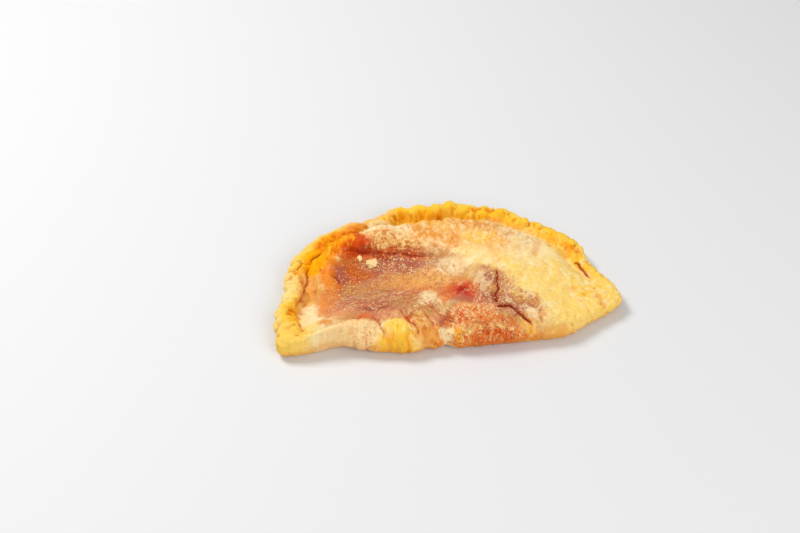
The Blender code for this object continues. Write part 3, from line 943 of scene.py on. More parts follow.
class Recipe:
    """A new material, and the nodes that are added to it."""

    def __init__(self, name):
        """Start a material with a Principled surface."""
        self.material = bpy.data.materials.new(name)
        self.material.use_nodes = True
        self.tree = self.material.node_tree
        self.surface = self.tree.nodes["Principled BSDF"]

    def node(self, kind, settings, sockets, output):
        """Add a node: its settings first, then its sockets' values or links."""
        made = self.tree.nodes.new(kind)
        for name, value in settings.items():
            setattr(made, name, value)
        inputs = {socket.identifier: socket for socket in made.inputs}
        for name, value in sockets.items():
            self.feed(inputs[name], value)
        return next(socket for socket in made.outputs if socket.identifier == output)

    def value(self, kind, settings, sockets, output="Value"):
        """Add a node whose output is a number."""
        return Value(self, self.node(kind, settings, sockets, output))

    def feed(self, socket, value):
        """Link or set a socket."""
        if isinstance(value, Value):
            value = value.socket
        if isinstance(value, bpy.types.NodeSocket):
            self.tree.links.new(value, socket)
        else:
            socket.default_value = value

    def finish(self, sockets):
        """Feed the surface's sockets and give the material."""
        for name, value in sockets.items():
            self.feed(self.surface.inputs[name], value)
        return self.material

    def vectors(self, operation, sockets, output="Vector"):
        """Add a Vector Math node."""
        return self.node("ShaderNodeVectorMath", {"operation": operation}, sockets, output)

    def place(self):
        """The place on the object, in millimetres."""
        place = self.node("ShaderNodeTexCoord", {}, {}, "Object")
        return self.vectors("SCALE", {"Vector": place, "Scale": 1 / MM})

    def noise(self, place, size, detail, seed, output="Fac"):
        """Smooth noise of about 0 to 1, with lumps of a size."""
        sockets = {"Vector": place, "W": seed, "Scale": 1 / size, "Detail": detail}
        return self.node("ShaderNodeTexNoise", {"noise_dimensions": "4D"}, sockets, output)

    def mottle(self, place, size, detail, seed):
        """Noise as a number of about -1 to 1."""
        return (Value(self, self.noise(place, size, detail, seed)) - NOISE_MIDDLE) * NOISE_SPREAD

    def joined(self, x, y):
        """Two numbers as a place."""
        return self.node("ShaderNodeCombineXYZ", {}, {"X": x, "Y": y}, "Vector")

    def dot(self, place, way):
        """The dot product of a place and a fixed way, as a number."""
        sockets = {"Vector": place, "Vector_001": way}
        return Value(self, self.vectors("DOT_PRODUCT", sockets, "Value"))

    def wander(self, place, size, detail, seed, reach):
        """Push places about by up to about reach."""
        push = self.noise(place, size, detail, seed, "Color")
        push = self.vectors("SUBTRACT", {"Vector": push, "Vector_001": (NOISE_MIDDLE,) * 3})
        push = self.vectors("SCALE", {"Vector": push, "Scale": NOISE_SPREAD * reach})
        return self.vectors("ADD", {"Vector": place, "Vector_001": push})

    def kept(self, name):
        """A value kept for each point of the mesh."""
        return self.value("ShaderNodeAttribute", {"attribute_name": name}, {}, "Fac")

    def blend(self, factor, first, second, way="MIX", label=""):
        """Go from the first colour to the second, with a label for the node."""
        settings = {"data_type": "RGBA", "blend_type": way, "label": label}
        sockets = {"Factor_Float": factor, "A_Color": first, "B_Color": second}
        return self.node("ShaderNodeMix", settings, sockets, "Result_Color")

    def bump(self, height, distance):
        """The surface's normal, tilted as a height in millimetres would tilt it."""
        sockets = {"Height": height, "Distance": distance * MM}
        return self.node("ShaderNodeBump", {}, sockets, "Normal")


# ---------------------------------------------------------------------------------------
# The tones of the crust, and where they lie
# ---------------------------------------------------------------------------------------


class Stain(NamedTuple):
    """A patch of the crust in another tone, with an edge that is soft and ragged."""

    name: str
    middle: tuple
    half_size: tuple
    turn: float
    tone: str
    strength: float
    soft: float
    ragged: float


class Freckles(NamedTuple):
    """A patch of the crust with dots in another tone, which take up a share of it.

    Where stretch is above 1 they are streaks, as many times longer, that run in a direction
    in degrees.
    """

    name: str
    middle: tuple
    half_size: tuple
    turn: float
    tone: str
    strength: float
    size: float
    share: float
    stretch: float = 1.0
    run: float = 0.0


CROWN_STAINS = table(
    Stain,
    ("crown bake", (12, 27), (38, 19), -10, "peach", 0.75, 0.5, 0.5),
    ("crown toast", (-4, 24), (14, 8), 10, "peach", 0.7, 0.4, 0.8),
    ("crown smudge", (9, 10), (6, 4.5), 20, "toast", 0.85, 0.5, 0.8),
    ("crown smudge trail", (1, 14), (9, 4), 20, "toast", 0.45, 0.5, 0.8),
    ("crown orange", (-8, 22), (5, 6), 30, "toast", 0.45, 0.5, 0.8),
    ("crown gold", (-8, 20), (10, 8), 0, "toast", 0.4, 0.5, 0.8),
    ("far crown streak", (38, 9), (3.6, 12), 8, "toast", 0.5, 0.5, 0.8),
    ("crown mid", (40, 10), (13, 16), 10, "peach", 0.75, 0.5, 0.8),
    ("crown tan", (28, 13), (26, 14), -14, "tan", 0.35, 0.6, 0.8),
    ("crown rust specks", (-6, 14), (12, 4), -16, "toast", 0.4, 0.6, 0.9),
    ("crown hazel", (30, 22), (16, 8), -24, "tan", 0.45, 0.5, 0.9),
    ("crown peach right", (34, 13), (8, 10), -20, "peach", 0.6, 0.5, 0.8),
    ("crown orange spot", (38, 7), (3.4, 4), 10, "toast", 0.4, 0.5, 0.7),
    ("crown ochre", (24, 12), (7, 8), 0, "straw", 0.6, 0.4, 0.8),
    ("ochre streak", (31, -6), (2.2, 10), 8, "tan", 0.6, 0.5, 0.5),
    ("cream patch", (15, -5), (16, 7), 0, "cream", 0.4, 0.6, 0.6),
    ("pale smudge", (-2, 8), (9, 3.5), -24, "cream", 0.5, 0.5, 0.6),
    ("right tip", (90, -34), (14, 13), -30, "straw", 0.6, 0.5, 0.6),
    ("right tip gold", (78, -33), (7, 5), -10, "gold", 0.35, 0.5, 0.8),
    ("front right edge", (76, -51), (28, 7), 22, "straw", 0.5, 0.6, 0.7),
    # The front right bottom edge: browned dough, with painted shade.
    ("front right toast and shade", (50, -61.5), (15, 2.6), 8, "toast", 0.6, 0.6, 0.7),
    ("dome straw", (60, -22), (16, 20), 20, "straw", 0.4, 0.5, 0.9),
    ("dome gold", (52, -4), (4, 14), 12, "gold", 0.12, 0.5, 0.9),
    ("dome cream", (60, 8), (16, 11), -30, "cream", 0.7, 0.5, 0.8),
    ("dome top cream", (50, 14), (12, 9), -30, "cream", 0.6, 0.5, 0.8),
    ("dome middle cream", (50, -4), (11, 10), -20, "cream", 0.5, 0.6, 0.8),
    ("right rim's inner gold", (73, 7), (16, 4), -59, "gold", 0.6, 0.5, 0.6),
)

LEFT_STAINS = table(
    Stain,
    ("groove's inner flank", (-12, 39), (30, 5), 2, "sun", 0.65, 0.4, 0.5),
    ("rim behind the ridge", (-44, 46), (20, 4.5), 16, "peach", 0.8, 0.35, 0.4),
    ("shoulder tan", (-76, -12), (11, 24), -6, "tan", 0.95, 0.3, 0.4),
    ("shoulder cream", (-81, -34), (6, 13), 8, "cream", 0.95, 0.3, 0.4),
    ("shoulder gold", (-72, 13), (9, 12), -30, "sun", 1.0, 0.35, 0.4),
    ("shoulder straw", (-70, -14), (5, 8), 12, "straw", 0.8, 0.5, 0.7),
    ("shoulder orange", (-65, -3), (5.5, 17), 8, "toast", 0.95, 0.35, 0.5),
    ("shoulder deep orange", (-64, 2), (4, 8), 8, "orange", 0.7, 0.4, 0.5),
    ("lower orange", (-71, -31), (6, 10), 12, "crisp", 0.75, 0.5, 0.6),
    ("ridge straw", (-61, 34), (17, 4), 20, "straw", 0.5, 0.4, 0.5),
    ("upper left crest", (-68, 35), (22, 4.2), 38, "straw", 0.85, 0.4, 0.5),
    ("rope's orange inside", (-57, 35), (15, 3.4), 27, "orange", 0.8, 0.5, 0.6),
    ("rope's sun inside", (-66, 29), (8, 3.4), 34, "sun", 0.7, 0.5, 0.6),
    ("ridge orange", (-56, 21), (15, 11), 8, "orange", 1.0, 0.35, 0.5),
    ("ridge gold streak", (-62, 24), (3, 8), 10, "sun", 0.6, 0.5, 0.8),
    ("ridge gold streak 2", (-53, 27), (2, 7), -4, "sun", 0.45, 0.5, 0.8),
    ("cream ridge", (-30, 31), (15, 12), 10, "cream", 1.0, 0.3, 0.5),
    ("cream knuckle", (-30, 20), (13, 6), -4, "cream", 0.85, 0.35, 0.6),
    ("ridge crumbs", (-31, 16), (12, 6), -10, "peach", 0.75, 0.4, 1.0),
    ("ridge rust", (-51, 11.5), (10, 4.6), 0, "rust", 0.95, 0.5, 0.5),
    ("ridge glow", (-57, 19), (8, 3.4), 6, "sun", 0.45, 0.6, 0.7),
    ("ridge glow 2", (-62, 20), (5, 5), 20, "gold", 0.5, 0.5, 0.7),
    ("rust spot", (-46, 35), (5, 4.6), 10, "rust", 0.7, 0.5, 0.6),
    ("rust streak", (-45.5, 16), (3, 9), 10, "rust", 0.95, 0.45, 0.6),
    ("shoulder glow", (-71, 14), (7, 8), -30, "sun", 0.95, 0.5, 0.5),
    ("shoulder glow left", (-62, 16), (4, 6), -20, "orange", 0.7, 0.5, 0.6),
    ("left lump", (-92, -8), (6, 10), -8, "pale", 0.7, 0.5, 0.6),
)

DENT_STAINS = table(
    Stain,
    ("film", (-31, -14), (44, 25.5), 3, "film", 1.0, 0.16, 0.25),
    ("upper brown", (-53, 3), (10, 7), -10, "umber", 0.85, 0.5, 0.6),
    ("upper mauve", (-22, 0), (22, 7.5), -6, "mauve", 0.95, 0.4, 0.6),
    ("upper plum", (-25, 3), (10, 4), -8, "plum", 0.5, 0.5, 0.8),
    ("left mauve", (-42, -7), (11, 7), -10, "mauve", 0.85, 0.5, 0.7),
    ("middle plum", (-41, -4), (6, 3), -20, "plum", 0.5, 0.5, 0.8),
    ("gash brown", (-58, -11), (7, 7), 0, "umber", 0.95, 0.5, 0.7),
    ("left brown", (-53, -3), (10, 5), -8, "umber", 0.95, 0.5, 0.6),
    ("left brown deep", (-58, -6), (5, 6), 20, "rust", 0.5, 0.5, 0.8),
    ("left plum", (-61, -3.5), (4.4, 6.6), 30, "plum", 0.9, 0.5, 0.6),
    ("left scorch", (-63.5, -3), (1.6, 5.4), 34, "scorch_and_shade", 0.75, 0.6, 0.6),
    ("outer orange", (-67, -6), (4.4, 10), 8, "orange", 0.7, 0.5, 0.7),
    ("olive", (-54, -17), (6, 7), 10, "olive", 0.6, 0.5, 0.7),
    ("right tan", (-8, -13), (11, 9), 0, "peach", 0.7, 0.5, 0.6),
    ("middle toast", (-22, -13), (16, 7), 0, "tan", 0.45, 0.6, 0.6),
    ("glow", (-19, -21), (13, 4.5), 0, "crisp", 0.6, 0.5, 0.5),
    ("glow's heart", (-14, -17), (11, 2.6), 4, "tan", 0.7, 0.5, 0.6),
    ("left crisp", (-68, -24), (6, 10), 12, "crisp", 0.6, 0.5, 0.7),
    ("lower mauve", (-40, -30), (23, 10), 2, "mauve", 0.85, 0.5, 0.6),
    ("lower rose", (-58, -35), (13, 5), 4, "rose", 0.8, 0.5, 0.6),
    ("lower plum", (-44, -35), (10, 2.4), 12, "plum", 0.85, 0.45, 0.7),
    ("lower right plum", (-31, -38), (8, 4), -10, "plum", 0.45, 0.5, 0.8),
    ("lower olive", (-42, -22), (8, 4), 14, "olive", 0.35, 0.5, 0.8),
    ("clay", (-22, -35), (12, 8), -6, "clay", 0.7, 0.5, 0.6),
    ("white film", (-11, -32.5), (6.5, 7), -10, "cream", 0.95, 0.5, 0.7),
    ("grey edge", (0, 1), (10, 4), -14, "olive", 0.55, 0.5, 0.8),
    ("straw edge", (5, -7), (9, 6), -20, "cream", 0.75, 0.5, 0.8),
    ("right clay", (17, -17), (8, 6), 0, "clay", 0.6, 0.5, 0.6),
    # Painted shadow at the foot of the overhanging ridge.
    ("foot rust and shade", (-44, 9), (13, 3), -4, "rust", 0.85, 0.5, 0.7),
    ("foot rust and shade trail", (-21, 6.8), (11, 1.8), -12, "rust", 0.5, 0.5, 0.7),
    ("foot scorch", (-38, 8), (9, 1.8), -12, "scorch_and_shade", 0.6, 0.5, 0.6),
    ("foot scorch left", (-50, 9), (5, 1.5), -4, "scorch_and_shade", 0.4, 0.5, 0.7),
)

SAUCE_STAINS = table(
    Stain,
    ("purple skin", (14, -36), (12, 5), -16, "mauve", 0.9, 0.5, 0.5),
    ("purple plum", (12, -37.5), (10, 3.4), -16, "plum", 0.55, 0.5, 0.8),
    ("tear skin", (25, -30), (8, 12), 4, "mauve", 0.95, 0.5, 0.7),
    ("tear plum", (25.5, -31), (4, 10), 4, "plum", 0.85, 0.5, 0.9),
    ("beyond the tear", (33, -30), (6, 9), 10, "film", 0.5, 0.6, 0.9),
    ("below the tear", (42, -46), (15, 8), -34, "film", 0.95, 0.5, 0.7),
    ("below the tear plum", (39, -45.5), (12, 4.5), -34, "plum", 0.7, 0.6, 0.8),
    ("red glow", (6, -27), (9, 7), -10, "crisp", 0.85, 0.6, 0.3),
    ("red halo", (8, -29.5), (8, 6.8), -20, "brick", 0.9, 0.7, 0.3),
    ("red heart", (7.6, -30.5), (3.2, 3), 0, "blood", 1.0, 0.7, 0.3),
    ("red tail", (13, -35.5), (6, 3), -34, "brick", 0.7, 0.6, 0.4),
    ("pink below", (4, -37), (9, 3.6), 0, "mauve", 0.7, 0.5, 0.6),
    ("amber bead", (-4, -33), (2.6, 4), 10, "ember", 0.6, 0.4, 0.5),
)

FRONT_STAINS = table(
    Stain,
    ("roll", (-67, -51), (26, 8.4), 0, "cream", 1.0, 0.35, 0.4),
    ("roll top", (-58, -41), (15, 3.4), 0, "rose", 0.75, 0.5, 0.7),
    ("roll's blush", (-60, -50), (14, 9), 0, "peach", 0.45, 0.5, 0.7),
    # The roll's bottom edge: browned dough, with painted shade.
    ("roll's foot", (-60, -59), (24, 2.6), -6, "toast", 0.8, 0.5, 0.6),
    ("corner gold", (-93, -47), (11, 9), 10, "straw", 0.9, 0.6, 0.5),
    ("brown blister", (-49, -41.5), (4.4, 1.8), 8, "ember", 0.85, 0.4, 0.4),
    ("behind the fold", (-36, -43), (12, 5), -4, "rose", 0.75, 0.5, 0.8),
    ("roll's top spot", (-75, -45), (3.4, 1.5), -6, "toast", 0.8, 0.5, 0.5),
    ("yellow fold", (-34.5, -56), (9.6, 8.6), 12, "straw", 1.0, 0.2, 0.5),
    ("yellow fold's gold", (-36, -59.5), (10, 3.4), 0, "sun", 0.6, 0.6, 0.7),
    ("crumpled film", (-15, -46), (12, 11), -16, "clay", 0.85, 0.3, 0.6),
    ("crumpled tan", (-20, -50), (5, 7), 0, "tan", 0.7, 0.5, 0.8),
    ("crumpled rose", (-10, -49), (5, 6), 0, "rose", 0.6, 0.5, 0.8),
    ("small rust", (-26.5, -46), (2.6, 3.4), 20, "ember", 0.9, 0.4, 0.5),
    ("slanting plum", (-4, -48), (3.2, 9), -30, "plum", 0.85, 0.5, 0.7),
    ("front amber", (-13, -57), (10, 4.4), 4, "toast", 0.75, 0.5, 0.8),
    ("amber blob", (-8.5, -58), (2.6, 2.6), 4, "orange", 0.8, 0.4, 0.5),
    ("pale bit", (-5.5, -56.5), (4.4, 2.6), 4, "cream", 0.9, 0.4, 0.9),
    ("pale seam", (2, -49), (2.6, 6), 20, "cream", 0.7, 0.4, 0.7),
    ("crisp top", (14, -45), (14, 4.6), -6, "crisp", 0.6, 0.5, 0.8),
    ("crisp", (14, -50), (17, 8), -4, "crisp", 0.85, 0.25, 0.6),
    ("crisp's left edge", (3.4, -50), (2, 4), 14, "ember", 0.8, 0.4, 0.6),
    ("below the ring", (15, -56.4), (8, 1.6), -4, "tan", 0.75, 0.5, 0.7),
    ("crisp's right spot", (25, -46), (2, 4), 10, "ember", 0.8, 0.5, 0.6),
    ("lens", (32, -52), (9, 5.5), -28, "clay", 1.0, 0.35, 0.5),
    ("lens's rose", (34, -49.5), (6, 3), -28, "mauve", 0.7, 0.4, 0.6),
    ("lens's rust", (31, -56.5), (8, 2), -16, "ember", 0.6, 0.5, 0.6),
    # Along the crisp front's bottom edge: browned dough, with painted shade.
    ("crisp foot", (16, -61.5), (20, 2.4), 0, "ember", 0.85, 0.6, 1.4),
    ("crisp foot rust and shade", (14, -62), (18, 2), 0, "rust", 0.4, 0.7, 1.2),
    ("yellow bead", (41.5, -57.5), (2.8, 1.8), -20, "sun", 0.7, 0.6, 1.2),
    ("left bead", (1, -57), (2.6, 3), 0, "sun", 0.8, 0.35, 0.4),
    ("cream seam", (44, -51), (2.6, 4.5), 30, "cream", 0.8, 0.5, 0.6),
    ("right of the seam", (55, -50), (5, 8), -30, "pale", 0.6, 0.5, 0.7),
)

FRECKLES = table(
    Freckles,
    ("film broad", (-32, -14), (44, 25), 2, "umber", 0.4, 3.4, 0.42),
    ("film mauve", (-27, -15), (38, 25), 2, "mauve", 0.5, 2.2, 0.42),
    ("film tan", (-30, -16), (42, 24), 2, "tan", 0.5, 1.8, 0.4),
    ("film plum", (-30, -14), (38, 25), 2, "plum", 0.45, 1.0, 0.4),
    ("film", (-32, -14), (44, 25), 2, "cream", 0.7, 0.8, 0.3),
    ("lower streaks", (-40, -30), (26, 10), 2, "cream", 0.4, 0.9, 0.4, 5, 24),
    ("lower dark streaks", (-40, -30), (26, 10), 2, "plum", 0.45, 1.0, 0.4, 5, 24),
    ("tear skin", (26, -33), (13, 14), 4, "cream", 0.6, 0.9, 0.42),
    ("tear skin dark", (28, -34), (14, 14), 4, "plum", 0.6, 1.2, 0.42),
    ("ridge crumbs", (-27, 14.5), (17, 7), -8, "umber", 0.75, 2.6, 0.4),
    ("ridge flour", (-27, 14), (19, 7), -8, "pale", 0.85, 2.0, 0.4),
    ("ridge pits", (-29, 13), (16, 6), -8, "rust", 0.55, 1.6, 0.34),
    ("cream ridge", (-28, 28), (17, 16), 8, "toast", 0.5, 2.2, 0.4),
    ("crisp front", (10, -51.5), (15, 8.5), -4, "rust", 0.55, 2.6, 0.44),
    ("crisp streaks", (22, -54), (20, 9), -4, "rust", 0.5, 1.2, 0.4, 4, 80),
    ("crisp shine", (14, -49), (18, 8), -4, "cream", 0.65, 1.1, 0.42),
    # Along the crisp front's bottom edge: browned dough, with painted shade in the darker dots and
    # streaks.
    ("crisp foot", (16, -60), (24, 4), -2, "rust", 0.65, 2.4, 0.44),
    ("crisp foot light", (16, -59), (24, 5), -2, "toast", 0.8, 1.9, 0.42),
    ("crisp foot dark", (18, -61), (22, 4), -2, "scorch_and_shade", 0.55, 1.1, 0.38),
    ("crisp foot rust and shade streaks", (24, -60), (16, 5), -2, "scorch_and_shade", 0.5, 1.6, 0.42, 3, 80),
    ("crisp foot cheese", (16, -58), (24, 5), -2, "cream", 0.55, 1.1, 0.36),
    ("ridge orange", (-57, 20), (17, 13), 8, "rust", 0.45, 1.6, 0.44, 3, 80),
    ("ridge gold", (-60, 24), (17, 14), 8, "gold", 0.6, 1.5, 0.42, 3, 84),
    ("crown", (20, 22), (44, 24), -10, "toast", 0.4, 2.0, 0.42),
    # Streaks on the crown's puckers: painted shade between them in toast, and painted light on
    # their ridges in cream.
    ("crown puckers", (4, 30), (30, 14), 0, "toast", 0.6, 2.2, 0.42, 5, 96),
    ("crown puckers cream", (6, 28), (30, 14), 0, "cream", 0.5, 2.4, 0.4, 5, 96),
    ("crown right puckers", (38, 22), (22, 18), -20, "toast", 0.5, 2.4, 0.42, 5, 66),
    ("crown right puckers cream", (40, 20), (22, 18), -20, "cream", 0.45, 2.6, 0.4, 5, 66),
    ("crown cream", (20, 20), (46, 24), -10, "cream", 0.4, 3.2, 0.44, 1.6, 80),
    ("dome", (56, -14), (40, 38), 0, "straw", 0.35, 5.5, 0.46, 1.6, 60),
    ("dome cream", (52, -14), (44, 38), 0, "cream", 0.5, 5.0, 0.46, 1.6, 60),
    ("dome blush", (52, -10), (42, 36), 0, "peach", 0.3, 3.4, 0.42, 1.6, 70),
    ("dome velvet", (56, -10), (42, 38), 0, "tan", 0.2, 1.6, 0.34),
    ("right of the tear", (38, -42), (15, 9), -36, "mauve", 0.6, 3.4, 0.52),
    ("below the tear", (41, -45), (15, 9), -36, "plum", 0.45, 1.7, 0.42),
    ("below the tear cream", (42, -45), (16, 10), -36, "cream", 0.6, 1.3, 0.4),
    ("crown velvet", (10, 22), (40, 22), -6, "toast", 0.22, 1.5, 0.32),
    ("tip", (88, -32), (20, 15), -30, "gold", 0.5, 2.6, 0.44),
    ("tip's pale lumps", (88, -32), (20, 15), -30, "cream", 0.5, 2.8, 0.42),
    ("right rim", (70, 13), (24, 8), -56, "sun", 0.7, 2.4, 0.44),
    ("roll", (-68, -50), (30, 11), 0, "toast", 0.3, 1.6, 0.36, 3, 86),
    ("roll's blush", (-60, -56), (26, 6), -4, "peach", 0.3, 2.6, 0.46, 1.6, 86),
    ("roll's specks", (-52, -52), (9, 6), 0, "umber", 0.6, 1.0, 0.36),
    ("left shoulder", (-76, -8), (12, 26), -6, "toast", 0.5, 1.5, 0.42),
    ("yellow fold", (-35, -55), (9, 7), 14, "gold", 0.6, 1.8, 0.44, 2, 76),
    ("yellow fold cream", (-35, -55), (9, 7), 14, "cream", 0.4, 2.6, 0.44, 1.4, 76),
    ("yellow fold toast", (-34, -56), (10, 7), 14, "toast", 0.5, 1.5, 0.4, 3, 76),
    ("crumpled", (-15, -46), (14, 13), -16, "umber", 0.5, 1.3, 0.42, 4, -62),
    ("crumpled cream", (-13, -44), (14, 13), -16, "cream", 0.5, 1.3, 0.4, 4, -62),
    ("behind the fold", (-33, -42), (13, 6), -4, "plum", 0.5, 1.6, 0.42, 3, 50),
)

# Where the crust is oily, and how soft and ragged the edge of that is.
OILY_PARTS = table(
    Patch,
    ("oily film", (-26, -16), (56, 30), 2),
    ("oily front", (12, -50), (30, 13), -4),
)
OILY_SOFT = 0.3
OILY_RAGGED = 0.4

# What is kept for the shader: how much later the rim's foot darkens, with browning and painted
# shadow, how far past the rim its tones reach, and where its crest pales, with painted light.
RIM_FOOT = 3.0
RIM_TONE_END = 3.5
RIM_TONE_FADE = 5
RIM_TONE_FADE_RIGHT = 5
CREST_PALES_FROM = 88
CREST_PALES_OVER = 40
CREST_PAST_MIDDLE = 1
CREST_FADE = 5

# How noises push the places on the crust: size, detail, seed and reach.
PUSHES = ((13, 1.0, 3.1, 2.2), (3.2, 2.0, 7.7, 0.7))
# How far the grain moves the edges of patches.
GRAIN_PUSH = (0.25, 0.2, 0)
# Mottles: size, detail and seed.
BROAD = (16, 2.0, 1.3)
MIDDLING = (4.5, 3.0, 5.2)
FINE = (1.3, 3.0, 9.4)
RIM_STREAKS = (1.0, 2.0, 0.4)
RIM_BROAD = (7, 2.0, 6.1)
LINE_BREAKS = (4, 1.0, 2.7)
PORES = (0.55, 2.0, 4.4)
SKIN_WRINKLES = (1.5, 2.0, 2.2)
# The grain is a sum of two mottles.
MIDDLING_SHARE = 0.7
FINE_SHARE = 0.3

STRAW_EDGE = Edge(-0.7, 0.9, 0.45)
CREAM_EDGE = Edge(0.0, 1.1, 0.4)
ROPE_EDGE = Edge(0.25, 0.75, ragged=0.15)
# Freckles: how soft and ragged their patches are, and where in the noise their dots start
# and are full, past the level that gives them their share.
FRECKLES_SOFT = 0.25
FRECKLES_RAGGED = 0.3
FRECKLES_DETAIL = 1.0
FRECKLES_START = 0.02
FRECKLES_FULL = 0.28

# The rim: edges of its tones, of its painted light and shade, and what the right end, streaks and
# grain do to them.
STREAK_RUN = 0.42
RIM_STRAW_EDGE = Edge(-0.9, 0.9, 0.8)
GOLD_RIGHT = 0.3
CREST_STRAW = 0.75
CREST_STRAW_GRAIN = 0.5
CREST_PALE_AND_LIT_EDGE = Edge(0.65, 1.2, 0.6, 0.4)
CREST_PALE_AND_LIT_RIGHT = 0.8
FLANK_EDGE = Edge(0.8, 1.4, ragged=0.2)
FLANK_RIGHT = 0.35
PLEAT_SHADE_STREAKS = 1.2
PLEAT_SHADE_EDGE = Edge(0.5, 1.6, 0.95)
PLEAT_LIGHT_EDGE = Edge(-0.2, -1.1, 0.7)
PIT_EDGE = Edge(0.35, 1.2)
PIT_RELIEF = -0.7
PIT_GRAIN = 0.35
PIT_CREASE = 0.9
PIT_SHADE = 0.8
PIT_RIGHT = 0.3
GROOVE_EDGE = Edge(1.4, 1.8, ragged=0.15)
GROOVE_CREASE_EDGE = Edge(0.4, 1.1, ragged=0.3)
GROOVE_SHADE = 0.5
GROOVE_RIGHT = 0.3

# Darkening by form, with browning and painted shade: the foot, round the folds, in their creases
# and in the hollows.
FOOT_EDGE = Edge(8.5, 3.5, ragged=1.5)
FOOT_TOAST_AND_SHADE = 0.32
SEAM_EDGE = Edge(1.4, 0.1, ragged=0.5)
SEAM_RUST_AND_SHADE = 0.55
LINE_EDGE = Edge(0.5, 0.0, ragged=0.25)
LINE_BREAK_EDGE = Edge(0.25, 0.9, ragged=0.5)
LINE_WIDENING = 0.35
LINE_SCORCH_AND_SHADE = 0.8
HOLLOW_EDGE = Edge(0.1, 0.8, ragged=0.1)
HOLLOW_PAINTED_SHADE = 0.42
SHADE_EDGE = Edge(-1, 1)
SHADE = (0.90, 0.86, 0.80, 1)
WHITE = (1, 1, 1, 1)

# The surface, where oil makes it glossier and its bumps deeper.
ROUGHNESS = 0.55
OILY_GLOSS = 0.16
FINE_ROUGHNESS = 0.06
PORE_SHARE = 0.5
WRINKLE_SHARE = 0.5
OILY_WRINKLE_SHARE = 0.8
OILY_COAT = 0.16
DOUGH_SURFACE = {
    "Coat Roughness": 0.22,
    "Subsurface Weight": 0.12,
    "Subsurface Radius": (1.0, 0.45, 0.2),
    "Subsurface Scale": 0.0012,
    "Specular IOR Level": 0.05,
}


def tone(name, red, green, blue, description):
    """A colour property whose default is given as it looks on a screen, from 0 to 255."""
    shown = Color((red / 255, green / 255, blue / 255))
    return FloatVectorProperty(name=name, description=description, subtype="COLOR", size=3,
                               min=0, max=1, default=tuple(shown.from_srgb_to_scene_linear()))


class CrustTones(bpy.types.PropertyGroup):
    """The tones of the baked dough and of the filling that shows through it."""

    pale: tone("Pale dough", 253, 224, 148, "Dough that has barely browned")
    cream: tone("Cream dough", 255, 233, 180, "The palest dough")
    straw: tone("Straw", 252, 209, 94, "Yellow dough")
    sun: tone("Sun yellow", 254, 178, 2, "Oily bright yellow dough")
    # Amber is laid on the rim as painted shade, in its pits and between its pleats.
    gold: tone("Gold", 252, 200, 36, "The crimped rim")
    amber: tone("Amber", 240, 160, 6, "The rim's amber, and painted shade in its pits and pleats")
    peach: tone("Peach", 246, 187, 106, "Pinkish baked dough")
    tan: tone("Tan", 242, 178, 92, "Lightly baked dough")
    # Toast also paints shade in the hollows and, with the browning, along the foot.
    toast: tone("Toast", 232, 142, 44, "Baked dough")
    orange: tone("Orange", 250, 140, 2, "Baked dough soaked with oil")
    # Rust also paints shade by the folds, in the rim's groove and under the ridge.
    rust: tone("Rust", 214, 72, 0, "Dark baked dough")
    # Scorch is also laid as painted shade: in the creases, under the ridge and along the bottom
    # edge.
    scorch_and_shade: tone("Scorch", 140, 26, 0, "Scorched dough, and painted shade in the creases")
    crisp: tone("Crisp", 234, 134, 62, "Crisp cheese and oil at the front")
    ember: tone("Ember", 228, 104, 8, "The dark foot of the crisp front")
    film: tone("Film", 212, 140, 76, "Thin dough over the filling")
    rose: tone("Rose", 216, 130, 92, "Filling that shows as pink")
    mauve: tone("Mauve", 186, 112, 87, "Filling that shows as a greyish pink")
    umber: tone("Umber", 196, 92, 14, "Filling that shows as orange-brown")
    plum: tone("Plum", 170, 88, 70, "Filling that shows as purple")
    olive: tone("Olive", 190, 146, 88, "Filling that shows as grey-green")
    clay: tone("Clay", 208, 154, 92, "Filling that shows as grey-brown")
    brick: tone("Brick", 208, 62, 30, "Sauce under the dough")
    blood: tone("Sauce", 170, 8, 0, "Sauce that has come through")


class CrustSettings(bpy.types.PropertyGroup):
    """How finely the crust is cut, and how deep its forms are."""

    cells: IntProperty(name="Cells", description="Cells along each side of the upper crust",
                       default=223, min=40, max=230)
    rows: IntProperty(name="Rows", description="Rows of cells down the edge",
                      default=44, min=10, max=50)
    fold_depth: FloatProperty(name="Folds", description="Depth of the folds and tears",
                              default=1.0, min=0, max=2, subtype="FACTOR")
    grain_depth: FloatProperty(name="Grain", description="Depth of the rough patches",
                               default=1.0, min=0, max=2, subtype="FACTOR")
    pleat_depth: FloatProperty(name="Pleats", description="Depth of the pleats on the rim",
                               default=1.0, min=0, max=2, subtype="FACTOR")
    pore_depth: FloatProperty(name="Pores", description="Depth of the finest unevenness",
                              default=0.00018, min=0, max=0.001, unit="LENGTH")


class BitSettings(bpy.types.PropertyGroup):
    """The small things that lie on the crust."""

    cheese_count: IntProperty(name="Cheese specks", description="How many specks of cheese",
                              default=640, min=0, max=2000)
    crumb_count: IntProperty(name="Crumbs", description="How many toasted crumbs",
                             default=90, min=0, max=2000)
    cheese_tone: tone("Cheese", 246, 212, 168, "Specks of cheese and flour")
    melted_tone: tone("Melted cheese", 242, 186, 122, "Specks that have browned")
    flake_tone: tone("Flake", 250, 218, 158, "Pale flakes of crust")
    crumb_tone: tone("Crumb", 216, 140, 72, "Toasted crumbs")
    pepper_tone: tone("Pepper", 74, 48, 22, "Specks of pepper")


class StageSettings(bpy.types.PropertyGroup):
    """The floor, the light and the camera."""

    floor_tone: tone("Floor", 222, 222, 223, "The plain floor")
    key_power: FloatProperty(name="Key light", description="Power of the large light",
                             default=10.2, min=0, unit="POWER")
    fill_power: FloatProperty(name="Fill light", description="Power of the light in front",
                              default=7.3, min=0, unit="POWER")
    sky: FloatProperty(name="Sky", description="Strength of the light from all round",
                       default=0.475, min=0)
    lens: FloatProperty(name="Lens", description="The camera's focal length in millimetres",
                        default=61.65, min=10, max=300)


